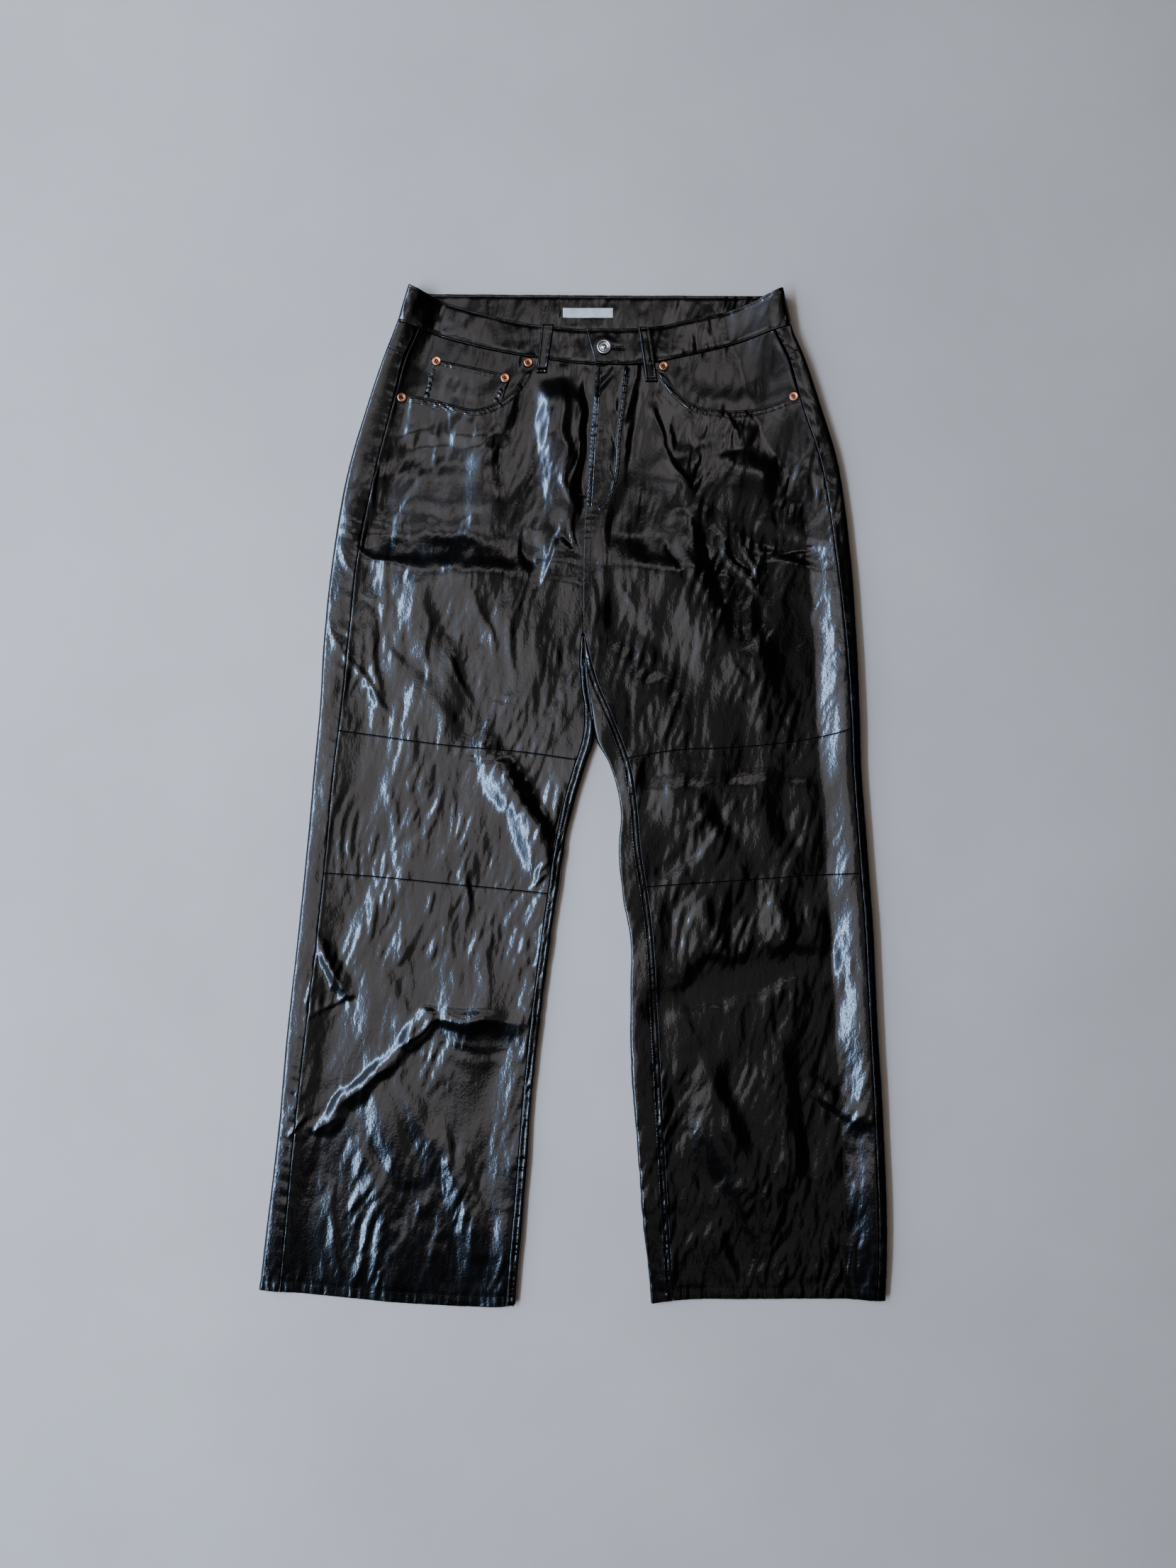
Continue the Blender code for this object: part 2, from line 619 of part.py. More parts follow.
def band_back(side, inside, share):
    """A station of the band on the back, which rests on the back loops."""
    fold = OUTER[side]
    x, y = band_line(side, inside, share, BAND_BACK)
    cos = np.clip(1 - inside / fold.read("radius", y), 0, 1)
    sin = np.sqrt(1 - cos ** 2)
    height = ground(y) + (fold.read("roll", y) - ground(y)) / 2 * (1 - sin)
    steps = np.stack([inward(side) * cos, 0 * cos, sin], axis=-1)
    return np.stack([x, y, height], axis=-1), steps * BAND


def make_waistband(finish):
    share = np.linspace(0, 1, 4)
    over_fold = BAND_TURN * (1 - np.cos(np.radians((90, 62, 38, 18, 0))))
    under_fold = BAND_TURN * (1 - np.cos(np.radians((25, 50, 90))))

    def front_stations(side):
        end = BAND_END[side]
        places = [end, end - 12, end - 26, *np.linspace(end - 42, 14, 9), *over_fold]
        return [band_front(side, inside, share) for inside in places]

    stations = front_stations("right")
    stations += [band_back("right", inside, share) for inside in under_fold]
    stations += [band_back("right", inside, share) for inside in np.linspace(24, 376, 9)]
    stations += [band_back("left", inside, share) for inside in under_fold[::-1]]
    stations += front_stations("left")[::-1]
    outside = np.array([points for points, _ in stations])
    steps = np.array([moved for _, moved in stations])
    wall("waistband", outside, outside + steps, finish)


# Belt loops: the centre of the top and of the bottom end, and the half widths there
FRONT_LOOPS = {
    "right": {"top": (-26.6, 495.2), "bottom": (-33.1, 444.5), "half": (6.5, 5.4)},
    "left": {"top": (73.2, 491.9), "bottom": (81.6, 435.6), "half": (6.2, 6.4)}}
LOOP = 1.6               # thickness of a belt loop


def make_front_loop(side, finish):
    size = FRONT_LOOPS[side]
    top, bottom = np.array(size["top"]), np.array(size["bottom"])
    seam = BAND_FRONT[side].read("seam", top[0])
    points = []
    for along in np.linspace(0, 1, 8):
        centre = top + (bottom - top) * along
        half = size["half"][0] + (size["half"][1] - size["half"][0]) * along
        row = []
        for across in (-1, 0, 1):
            x, y = centre[0] + across * half, centre[1]
            on_band = band_height(side, x, y)
            on_panel = front_surface(side, x, y)
            share = step((y - seam + 16) / 14)
            under = on_panel + (on_band - on_panel) * share + 0.5
            row.append((x, y, under + LOOP))
        points.append(row)
    outside = np.array(points, dtype=float)
    wall(f"loop_front_{side}", outside, outside - (0, 0, LOOP), finish)


BACK_LOOPS = {"right": -108.0, "centre": CENTRE_BACK, "left": 130.0}
BACK_LOOP_SIZE = (13.0, 48.0, LEATHER)    # width, length, thickness


def make_back_loop(place, x, finish):
    width, length, thickness = BACK_LOOP_SIZE
    mesh = bpy.data.meshes.new(f"loop_back_{place}")
    bm = bmesh.new()
    bmesh.ops.create_cube(bm, size=1)
    bmesh.ops.scale(bm, verts=bm.verts, vec=(width * MM, length * MM, thickness * MM))
    bm.to_mesh(mesh)
    bm.free()
    loop = add(f"loop_back_{place}", mesh, finish)
    top = BAND_BACK.read("top", x)
    loop.location = metres((x, top - length / 2, thickness / 2))


LABEL_PLACE = (15.2, 508.7)
LABEL_SIZE = (52.5, 10.3, 1.0)


def make_label(finish):
    mesh = bpy.data.meshes.new("label")
    bm = bmesh.new()
    bmesh.ops.create_cube(bm, size=1)
    bmesh.ops.scale(bm, verts=bm.verts, vec=[length * MM for length in LABEL_SIZE])
    bm.to_mesh(mesh)
    bm.free()
    label = add("label", mesh, finish)
    label.location = metres((*LABEL_PLACE, POCKET_LIFT + BAND + SEAM + LABEL_SIZE[2] / 2))


# Turned metal: profiles as (radius, height), from the top of the axis outwards and down
RIVET_PROFILE = ((0, 0.95), (0.7, 0.85), (1.1, 0.5), (2.2, 0.5), (3.0, 1.35), (4.1, 1.35),
                 (4.9, 0.6), (4.9, 0), (0, 0))
BUTTON_PROFILE = ((0, 2.3), (2.6, 2.2), (3.4, 1.5), (4.6, 1.5), (5.6, 2.7), (6.9, 2.6),
                  (7.6, 1.7), (7.4, 0.9), (4.0, 0.6), (4.0, 0), (0, 0))


def turned(name, profile, steps, finish):
    mesh = bpy.data.meshes.new(name)
    bm = bmesh.new()
    points = [bm.verts.new((radius * MM, 0, height * MM)) for radius, height in profile]
    for a, b in zip(points, points[1:]):
        bm.edges.new((a, b))
    bm.to_mesh(mesh)
    bm.free()
    thing = add(name, mesh, finish)
    spin = thing.modifiers.new("Turn", "SCREW")
    spin.steps = spin.render_steps = steps
    spin.use_merge_vertices = True
    spin.merge_threshold = 0.00001
    return thing


def seat(thing, surface, x, y, reach, clear):
    """Set a turned piece on a surface, square to it and clear of it."""
    span = reach * 0.8
    dx = float(surface(x + span, y) - surface(x - span, y)) / (2 * span)
    dy = float(surface(x, y + span) - surface(x, y - span)) / (2 * span)
    above = 0.0
    for angle in np.linspace(0, 2 * math.pi, 13):
        for radius in (0.0, reach / 2, reach):
            u, v = radius * math.cos(angle), radius * math.sin(angle)
            plane = surface(x, y) + dx * u + dy * v
            above = max(above, float(surface(x + u, y + v) - plane))
    z = float(surface(x, y)) + above + clear
    thing.location = metres((x, y, z))
    thing.rotation_euler = (math.atan(dy), -math.atan(dx), 0)


RIVETS = (
    # name, side, x, y, what it is set in
    ("coin_outer", "right", -142.3, 457.0, "coin"),
    ("coin_inner", "right", -71.0, 439.4, "coin"),
    ("opening_inner_right", "right", -46.8, 455.6, "front"),
    ("opening_outer_right", "right", -178.2, 418.4, "front"),
    ("opening_inner_left", "left", 94.0, 452.2, "front"),
    ("opening_outer_left", "left", 228.6, 418.4, "front"))
RIVET_RADIUS, BUTTON_RADIUS = 4.9, 4.0
BUTTON_PLACE = (31.8, 470.6)


def make_rivet(name, side, x, y, on, finish):
    def surface(px, py):
        if on == "coin":
            return coin_surface(px, py)
        return front_surface(side, px, py)
    seat(turned(f"rivet_{name}", RIVET_PROFILE, 14, finish), surface, x, y, RIVET_RADIUS, 0.45)


def make_button(finish):
    seat(turned("button", BUTTON_PROFILE, 24, finish),
         lambda x, y: band_height("left", x, y), *BUTTON_PLACE, BUTTON_RADIUS, 0.4)


def main():
    leather = material("Black coated leather", (0.014, 0.013, 0.014), 0.34)
    lining = material("Black leather, facing", (0.016, 0.015, 0.016), 0.4)
    woven = material("White woven label", (0.72, 0.71, 0.68), 0.85)
    copper = material("Copper", (0.78, 0.40, 0.26), 0.3, 1.0)
    steel = material("Nickel steel", (0.62, 0.62, 0.63), 0.28, 1.0)
    for side in ("right", "left"):
        make_fronts(side, leather)
        make_back(side, leather)
        make_facing(side, lining)
        make_back_pocket(side, leather)
        make_front_loop(side, leather)
    make_coin_pocket(leather)
    make_waistband(leather)
    for place, x in BACK_LOOPS.items():
        make_back_loop(place, x, leather)
    make_label(woven)
    for name, side, x, y, on in RIVETS:
        make_rivet(name, side, x, y, on, copper)
    make_button(steel)


for old in list(bpy.data.objects):
    bpy.data.objects.remove(old, do_unlink=True)
TROUSERS = bpy.data.collections.new("Leather trousers")
bpy.context.scene.collection.children.link(TROUSERS)
main()
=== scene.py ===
"""Looks of the leather trousers: fine leather panels, seams and stitches, metal, floor and light.

Sizes are in millimetres in the garment's own frame until `metres`: X towards the wearer's left,
Y from the hems to the waist, Z up. The upper side of the lying garment is a height field, `lie`,
and `relief` adds what is too fine for the solids. Every panel is a closed wall made from a grid
of points on that field, so each lies where its CAD solid does, with finer folds on it.
"""

import math
from functools import partial, reduce

import bpy
import numpy as np
from mathutils import Euler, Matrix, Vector


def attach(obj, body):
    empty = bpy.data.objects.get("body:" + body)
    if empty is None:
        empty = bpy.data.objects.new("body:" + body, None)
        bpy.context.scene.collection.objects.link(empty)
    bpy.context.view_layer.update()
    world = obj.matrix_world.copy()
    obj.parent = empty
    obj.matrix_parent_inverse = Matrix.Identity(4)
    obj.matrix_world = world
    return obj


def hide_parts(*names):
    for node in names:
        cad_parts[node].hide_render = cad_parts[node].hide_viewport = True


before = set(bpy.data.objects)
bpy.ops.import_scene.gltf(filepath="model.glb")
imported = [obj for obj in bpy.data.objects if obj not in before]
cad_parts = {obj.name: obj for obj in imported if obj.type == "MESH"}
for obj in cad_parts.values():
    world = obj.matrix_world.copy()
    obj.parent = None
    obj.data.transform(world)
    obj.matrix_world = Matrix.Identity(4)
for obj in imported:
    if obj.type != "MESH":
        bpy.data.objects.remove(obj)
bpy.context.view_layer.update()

MM = 0.001
FAR = 1000.0             # a distance to an edge that isn't there
SIDES = ("right", "left")

# The sizes of the cut, as in the solids
LEATHER = 1.4            # one layer of leather
COIN_LEATHER = 1.3       # the coin pocket
BAND = 2.4               # the waistband, two layers
SEAM = 0.14              # between two pieces along a seam
HALF = SEAM / 2
LAYER = 0.35             # between two pieces that lie on each other
LEG_GAP = 0.7            # between the two legs where they touch
POCKET_LIFT = LEATHER + 0.3
MID_AT_HEM, MID_AT_WAIST = 5.0, 7.5
BAND_WIDTH = 36.0
BAND_PROUD = 0.8
FLY_RAISE = 1.9
FLY_LAP = 6.0
BAND_RAISE, BAND_DROP = 2.3, 0.5
SPREAD, LEFT_SPREAD = 42.0, 29.0      # how far the cloth falls away beside a side fold
LEFT_STRAIGHT = 0.65                  # the share of that fall that is straight on the left
HEM_Y, CROTCH_Y, WAIST_Y = -528.7, 171.3, 454.0
CENTRE_BACK = 10.4
MIDDLE = (-0.34, 1.04)   # of the garment; it lies at the frame's origin
LEG_X, CROTCH_X = 100.0, 10.0         # where the search for an edge along a row starts
SEAM_TOP = 460.0                      # where the side seams meet the waistband
PITCH = (2.1, 2.7)                    # of the leather panels' grids


class Table:
    """A short table with named columns, read between its rows along a smooth curve."""

    def __init__(self, names, rows):
        self.names = names.split()
        self.rows = np.array(sorted(rows), dtype=float)
        slopes = np.diff(self.rows, axis=0) / np.diff(self.rows[:, 0])[:, None]
        inner = (slopes[:-1] + slopes[1:]) / 2
        self.slopes = np.vstack([slopes[:1], inner, slopes[-1:]])

    def read(self, name, at):
        column = self.names.index(name)
        keys = self.rows[:, 0]
        at = np.clip(at, keys[0], keys[-1])
        row = np.clip(np.searchsorted(keys, at) - 1, 0, len(keys) - 2)
        span = keys[row + 1] - keys[row]
        t = (at - keys[row]) / span
        start, end = self.rows[row, column], self.rows[row + 1, column]
        leave, arrive = self.slopes[row, column] * span, self.slopes[row + 1, column] * span
        rise = t * t * (3 - 2 * t)
        return start + (end - start) * rise + t * (1 - t) * (leave * (1 - t) - arrive * t)


# The outer edge of each leg: the outline, the side seam, and the height and half width of the
# fold that the cloth makes there.
OUTER = {
    "right": Table("y outline seam roll radius", [
        (531.4, -170.4, -150.0, 24.0, 6.0),
        (495.6, -182.6, -159.0, 18.0, 6.0),
        (458.0, -197.5, -174.8, 16.0, 7.0),
        (413.0, -213.3, -187.5, 14.0, 8.0),
        (347.0, -233.0, -204.9, 13.0, 9.0),
        (258.0, -249.5, -223.6, 12.0, 9.0),
        (171.0, -259.5, -233.6, 11.5, 9.0),
        (95.0, -264.4, -241.6, 11.0, 9.0),
        (35.0, -269.8, -249.0, 11.0, 9.0),
        (-53.0, -277.9, -257.5, 10.5, 9.0),
        (-142.0, -287.1, -267.1, 10.5, 9.0),
        (-234.0, -297.5, -278.0, 10.5, 9.0),
        (-349.0, -308.1, -291.0, 10.0, 9.0),
        (-466.0, -322.3, -302.2, 9.5, 9.0),
        (-529.0, -329.3, -308.6, 9.0, 8.0)]),
    "left": Table("y outline seam roll radius", [
        (528.3, 216.7, 198.0, 24.0, 6.0),
        (491.1, 226.0, 206.5, 19.0, 7.0),
        (458.0, 240.5, 222.0, 17.0, 9.0),
        (413.0, 256.0, 236.3, 15.5, 11.0),
        (347.0, 276.0, 258.0, 14.5, 13.0),
        (258.0, 288.0, 272.0, 14.5, 14.0),
        (171.0, 294.5, 282.5, 15.4, 15.0),
        (95.0, 297.7, 287.8, 16.5, 15.0),
        (35.0, 299.5, 290.5, 15.5, 15.0),
        (-53.0, 306.4, 297.1, 15.0, 15.0),
        (-142.0, 312.5, 303.5, 16.0, 15.0),
        (-234.0, 316.5, 308.0, 15.5, 14.0),
        (-349.0, 323.5, 314.2, 14.0, 14.0),
        (-466.0, 326.6, 317.6, 14.0, 13.0),
        (-529.0, 325.0, 316.0, 10.0, 12.0)])}

# The inner edge of each leg, below the crotch
INNER = {
    "right": Table("y edge seam roll radius", [
        (171.3, 10.0, 9.0, 6.8, 3.0),
        (150.0, 11.2, 6.9, 7.0, 3.5),
        (122.0, 13.5, 8.5, 7.6, 4.0),
        (95.0, 17.4, 12.0, 8.2, 4.8),
        (64.0, 21.5, 9.9, 9.0, 6.0),
        (35.0, 12.0, 1.0, 9.0, 6.5),
        (-8.5, 0.0, -11.3, 9.0, 7.0),
        (-53.0, -10.0, -19.8, 9.0, 7.0),
        (-97.0, -17.2, -26.5, 9.0, 7.0),
        (-189.0, -29.0, -39.2, 9.0, 7.0),
        (-293.0, -41.2, -50.8, 9.0, 7.0),
        (-400.0, -49.4, -59.6, 9.0, 7.0),
        (-529.0, -60.7, -70.3, 8.5, 7.0)]),
    "left": Table("y edge seam roll radius", [
        (171.3, 10.9, 11.9, 6.8, 3.0),
        (150.0, 12.0, 17.0, 7.2, 3.8),
        (122.0, 14.3, 25.2, 7.8, 5.0),
        (95.0, 18.4, 36.7, 8.6, 6.5),
        (64.0, 24.2, 49.5, 9.0, 8.0),
        (35.0, 37.5, 59.2, 9.0, 8.0),
        (-8.5, 48.8, 65.9, 9.0, 8.0),
        (-53.0, 46.6, 69.8, 9.0, 8.0),
        (-97.0, 50.3, 76.9, 9.0, 8.0),
        (-142.0, 58.6, 82.3, 9.0, 8.0),
        (-234.0, 59.0, 87.8, 9.0, 8.0),
        (-349.0, 65.6, 93.8, 9.0, 8.0),
        (-466.0, 75.2, 100.4, 9.0, 8.0),
        (-529.0, 81.4, 104.3, 8.5, 8.0)])}

# The edge of the left front along the fly, down to the crotch
FLY = Table("y x", [(491.0, 20.0), (454.0, 22.9), (411.8, 20.0), (374.8, 17.0), (335.6, 14.8),
                    (292.7, 12.0), (244.6, 10.6), (205.3, 10.2), (171.3, 10.4)])

# Seams and edges that run across the garment
HEM = {
    "right": Table("x y", [(-329, -510.2), (-238, -519.9), (-163, -526.5), (-78, -528.7),
                           (-59, -525.8)]),
    "left": Table("x y", [(80, -525.0), (97, -522.8), (196, -521.3), (325, -521.3)])}
KNEE_LOW = {
    "right": Table("x y", [(-285, -74.5), (-195, -81.0), (-122, -88.4), (-74, -92.9),
                           (-17, -98.5)]),
    "left": Table("x y", [(50, -93.0), (107, -88.4), (186, -83.2), (262, -78.0), (309, -75.5)])}
KNEE_HIGH = {
    "right": Table("x y", [(-272, 76.0), (-205, 67.0), (-138, 57.7), (-59, 50.7), (3, 42.2),
                           (18, 40.0)]),
    "left": Table("x y", [(30, 40.0), (54, 43.3), (109, 52.2), (174, 55.1), (257, 65.5),
                          (299, 77.0)])}
SCOOP = {
    "right": Table("x y", [(-200, 419.9), (-160, 419.9), (-142, 416.2), (-124, 411.1),
                           (-103, 406.8), (-88, 410.4), (-74, 417.7), (-61.5, 428.8),
                           (-52.5, 442.9), (-48, 453.2), (-44, 467.0), (-40, 482.0)]),
    "left": Table("x y", [(84, 484.0), (87, 471.0), (90.3, 457.7), (95.5, 445.9),
                          (103.6, 431.8), (115.4, 419.2), (127.3, 411.8), (146.5, 407.4),
                          (166.5, 405.9), (186.5, 407.4), (206.5, 411.8), (225, 417.7),
                          (250, 421.0)])}
# The waistband: its seam and its top edge, on the front and on the back
BAND_FRONT = {
    "right": Table("x seam top", [(-184, 495.8, 536.0), (-170.4, 492.6, 531.4),
                                  (-153, 487.4, 524.6), (-124, 478.6, 515.0),
                                  (-85, 469.0, 504.5), (-38, 460.8, 495.4),
                                  (12, 454.6, 491.2), (55, 454.0, 491.2)]),
    "left": Table("x seam top", [(15, 454.0, 490.6), (73, 454.2, 491.6), (117, 463.0, 499.6),
                                 (160, 472.8, 508.6), (188, 480.8, 516.8), (205, 486.0, 524.0),
                                 (216.7, 489.0, 528.3), (227, 491.3, 532.0)])}
BAND_BACK = Table("x seam top", [(-184, 495.8, 535.0), (-170.4, 494.5, 531.4),
                                 (-90, 490.5, 528.5), (10, 489.0, 527.6), (120, 489.4, 527.0),
                                 (216.7, 490.6, 528.3), (227, 491.2, 530.0)])
# The yoke seam: low at the centre back, and turned up onto the front at the sides
YOKE_FLOOR = Table("x y", [(-194, 470.3), (-100, 432.0), (CENTRE_BACK, 401.0), (130, 432.0),
                           (241, 468.0)])
YOKE_TOP = {
    "right": Table("x y", [(-194, 470.3), (-176, 463.6), (-160, 459.0)]),
    "left": Table("x y", [(205, 458.0), (222, 462.0), (241, 468.0)])}

# The largest folds: a ridge (positive height) or a trough along a line
FOLDS = (
    # start x, start y, end x, end y, width, height
    (-18, 446, -6, 308, 60, 3.3),           # ridge beside the fly
    (-20, 264, 0, 250, 28, 0.8),            # pinch at the crotch
    (-42, 268, -40, 236, 24, -2.2),         # pit beside the pinch
    (-205, 268, -62, 262, 50, -2.2),        # right thigh trough
    (-190, 330, -90, 316, 60, 1.6),         # right thigh swell
    (112, 284, 141, 214, 34, 2.6),          # left thigh wedge
    (188, 276, 262, 254, 34, -2.4),         # left thigh trough
    (90, 350, 190, 330, 70, 1.6),           # left seat swell
    (40, 190, 130, 110, 60, -1.8),          # left thigh hollow
    (-170, 215, -120, 90, 44, 1.8),         # right thigh streak
    (66, 22, 262, 30, 36, -1.2),            # left knee trough
    (-90, 50, -26, -68, 44, 3.0),           # right knee ridge
    (100, -76, 150, -14, 26, -2.0),         # left knee crease
    (-258, -156, -236, -200, 26, 2.6),      # right shin corner
    (-262, -338, -168, -250, 26, 2.6),      # right shin pleat
    (-168, -250, -152, -226, 26, 3.4),      # right shin pleat, upper end
    (-150, -226, -62, -230, 30, 2.6),       # right shin ridge
    (-140, -254, -66, -256, 34, -1.8),      # right shin shadow
    (92, -216, 268, -166, 46, -2.6),        # left shin trough
    (110, -170, 250, -132, 46, 1.8),        # left shin swell
    (250, -300, 300, -330, 26, 2.2),        # left calf crease
    (-205, -310, -175, -390, 40, 1.8),      # right calf streak
    (-120, -380, -98, -470, 40, 1.8),       # right calf streak, inner
    (150, -330, 190, -440, 70, 1.6),        # left calf swell
)
FOLD_MARGIN = 16.0       # folds fade out this close to an edge or to the fly
FOLD_TOP = 445.0         # and towards the waist
BROAD_CREASE = 40        # creases from this width fade out further from an edge

# Creases that are too fine for the solids. `bow` bends a crease to its left, `sharp` pinches its
# crest, `flat` widens the crest to a plateau, and `lean` makes the right flank the steep one.
CREASES = (
    # x0, y0, x1, y1, width, height, bow, sharp, flat, lean
    # broad swells and hollows
    (-218, 238, -40, 230, 116, 6.8, 2, 0, 0, 0.2),
    (-205, 268, -62, 262, 50, 1.9, 0, 0, 0, 0),
    (-202, 346, -114, 390, 34, -1.4, 0, 0, 0, 0),
    (-98, 404, -86, 296, 56, 2.4, 0, 0, 0, 0.3),
    (-170, 138, -114, 52, 50, 2.4, 2, 0.2, 0, 0.35),
    (-92, 58, -18, -76, 62, 4.6, 3, 0.3, 0, 0.2),
    (-150, -226, -54, -230, 110, 3.6, 0, 0.4, 0, 0.1),
    (-140, -254, -66, -256, 34, 1.4, 0, 0, 0, 0),
    (-230, -338, -184, -462, 40, 1.1, 0, 0.2, 0, 0.2),
    (-188, -286, -128, -394, 46, 1.6, 2, 0.2, 0, 0.2),
    (-112, -438, -98, -506, 42, 1.3, 0, 0.2, 0, 0.2),
    (-72, -428, -66, -506, 40, 1.8, 0, 0, 0, 0.2),
    (-200, -190, -168, -238, 44, 1.6, 0, 0, 0, 0.2),
    (16, 244, 136, 236, 104, 5.8, 0, 0, 0, 0.2),
    (176, 372, 204, 306, 80, 3.4, 0, 0, 0, 0.4),
    (106, 360, 122, 300, 64, 2.4, 0, 0, 0, 0.4),
    (116, 236, 166, 150, 70, 3.6, 0, 0.2, 0, 0.4),
    (178, 190, 214, 96, 70, 2.6, 0, 0, 0, 0.3),
    (70, 6, 262, 12, 84, 3.8, 3, 0, 0, 0),
    (112, 8, 168, -60, 60, 2.6, 0, 0.1, 0, 0.4),
    (196, -6, 226, -70, 56, 2.2, 0, 0, 0, 0.4),
    (92, -214, 262, -160, 64, -3.0, 4, 0, 0, 0),
    (130, -100, 160, -170, 60, 2.4, 0, 0, 0, 0.4),
    (210, -96, 226, -160, 60, 2.6, 0, 0, 0, 0.4),
    (130, -250, 176, -380, 66, 2.6, 0, 0.1, 0, 0.4),
    (214, -260, 236, -420, 66, 2.6, 0, 0.1, 0, 0.4),
    (140, -420, 170, -508, 60, 2.4, 0, 0, 0, 0.4),
    # the pinch at the crotch, two peaks
    (-29, 238, -18, 277, 30, 2.8, 1, 0, 0, -0.8),
    (-18, 277, 2, 255, 8, 2.0, -1, 0.8, 0, -0.3),
    (-4, 287, 4, 259, 7, 2.0, 0, 0.8, 0, -0.3),
    (-29, 241, 8, 245, 6, 1.1, 1, 0.7, 0, 0),
    (-47, 276, -45, 238, 18, -1.4, 0, 0, 0, 0),
    # beside the fly
    (-14, 450, -2, 303, 42, 2.0, -3, 0, 0, 0.5),
    (-8, 348, 0, 306, 9, 1.2, -2, 0.6, 0, -0.3),
    (5, 412, -1, 318, 8, 1.2, 5, 0.5, 0, 0),
    (1, 404, -3, 340, 4, 0.5, 4, 0.5, 0, 0),
    (17, 446, 12, 304, 18, -1.8, 0, 0, 0, 0),
    # on the fly
    (41, 449, 27, 421, 9, -1.4, 0, 0.5, 0, 0),
    (35, 384, 40, 356, 10, 0.9, 0, 0.4, 0, 0.3),
    (35, 353, 43, 332, 10, 0.9, 0, 0.4, 0, 0.3),
    (42, 420, 46, 400, 14, 0.8, 0, 0.2, 0, 0.3),
    # right thigh
    (-222, 256, -180, 242, 14, 1.3, -2, 0.4, 0, 0),
    (-216, 196, -202, 82, 30, 2.0, 0, 0.2, 0, 0.4),
    (-256, 191, -238, 158, 7, 1.4, 1, 0.8, 0, 0),
    (-238, 158, -192, 94, 11, 1.7, -3, 0.8, 0, 0.3),
    (-233, 157, -218, 137, 7, 0.9, 0, 0.8, 0, 0),
    (-223, 219, -200, 205, 8, 1.0, 0, 0.6, 0, 0),
    (-151, 192, -152, 116, 10, 1.0, 2, 0.5, 0, 0.4),
    (-136, 168, -108, 106, 10, 1.2, -5, 0.7, 0, 0.3),
    (-92, 110, -44, 104, 5, -0.8, 0, 0.9, 0, 0),
    (-100, 214, -84, 160, 22, 1.3, 2, 0.2, 0, 0.4),
    (-64, 196, -58, 128, 18, 1.2, -2, 0.3, 0, 0.4),
    # right knee
    (-120, 44, -72, 43, 8, -1.3, 0, 0.6, 0, 0),
    (-128, 16, -127, -32, 7, 0.9, 0, 0.7, 0, 0),
    (-112, -66, -112, -116, 12, 1.2, 0, 0.5, 0, 0.4),
    (-148, -94, -150, -120, 9, 1.0, 0, 0.6, 0, 0.3),
    (-36, -80, -20, -62, 7, 1.2, 0, 0.6, 0, 0),
    (-44, -92, -26, -76, 6, 1.0, 0, 0.6, 0, 0),
    (-196, 40, -182, -60, 22, 0.6, 2, 0.2, 0, 0.4),
    # right shin
    (-264, -142, -236, -206, 24, 2.4, -2, 0.4, 0, 0.4),
    (-238, -205, -278, -228, 9, 1.5, 2, 0.7, 0, 0.3),
    (-180, -258, -284, -348, 15, 1.0, 2, 0.2, 0.5, 0),
    (-170, -252, -146, -229, 12, 1.6, 0, 0.5, 0, -0.4),
    (-146, -229, -49, -232, 9, 1.0, 3, 0.8, 0, 0.2),
    (-138, -336, -127, -392, 20, 1.5, 0, 0.3, 0, 0.2),
    (-204, -470, -203, -516, 7, 0.9, 0, 0.6, 0, 0),
    (-252, -400, -246, -500, 18, 1.4, 0, 0.3, 0, 0.4),
    (-100, -130, -92, -210, 18, 0.6, 2, 0.3, 0, 0.4),
    (-174, -140, -168, -190, 16, 0.5, -2, 0.3, 0, 0.3),
    # edge of the right leg
    (-244, 294, -223, 284, 8, 1.3, 1, 0.6, 0, 0),
    (-246, 278, -223, 272, 8, 1.3, 1, 0.6, 0, 0),
    (-248, 264, -226, 238, 8, 1.4, -2, 0.7, 0, 0),
    (-208, 310, -198, 304, 5, 0.8, 0, 0.6, 0, 0),
    (-209, 296, -196, 292, 5, 0.9, 0, 0.6, 0, 0),
    (-210, 284, -196, 281, 6, 0.9, 0, 0.6, 0, 0),
    (-296, -348, -278, -326, 8, 1.5, 0, 0.6, 0, 0),
    # left thigh
    (150, 279, 197, 216, 12, 1.8, -4, 0.5, 0, 0.3),
    (174, 273, 198, 216, 7, 1.6, -1, 0.8, 0, 0.3),
    (196, 250, 268, 268, 10, -1.8, 4, 0.6, 0, 0),
    (83, 422, 91, 367, 12, 1.4, -2, 0.4, 0, 0.3),
    (91, 367, 122, 326, 12, 1.1, 2, 0.4, 0, 0.3),
    (48, 226, 64, 198, 7, 0.8, 0, 0.7, 0, 0),
    (152, 196, 140, 150, 8, 0.7, 1, 0.6, 0, 0),
    (18, 228, 24, 176, 9, 0.9, 0, 0.4, 0, 0.3),
)


def step(t):
    """0 below 0, 1 above 1, smooth between."""
    t = np.clip(t, 0, 1)
    return t * t * (3 - 2 * t)


def ridge(away, width):
    """1 on a line and near 0 further from it than twice `width`."""
    return np.exp(-(away / width) ** 2)


def nearest(*distances):
    return reduce(np.minimum, distances)


def inward(side):
    """The X direction from the outer edge of a leg to its middle."""
    return 1 if side == "right" else -1


def mid_height(y):
    return MID_AT_HEM + (MID_AT_WAIST - MID_AT_HEM) * step((y - HEM_Y) / (WAIST_Y - HEM_Y))


def ground(y):
    """Height of the cloth that lies on the ground: above the crotch, on the back pockets."""
    return POCKET_LIFT * step((y - CROTCH_Y) / 40)


SQUARE = 6.0             # 2 is an ellipse; more is flatter on top, with a tighter edge


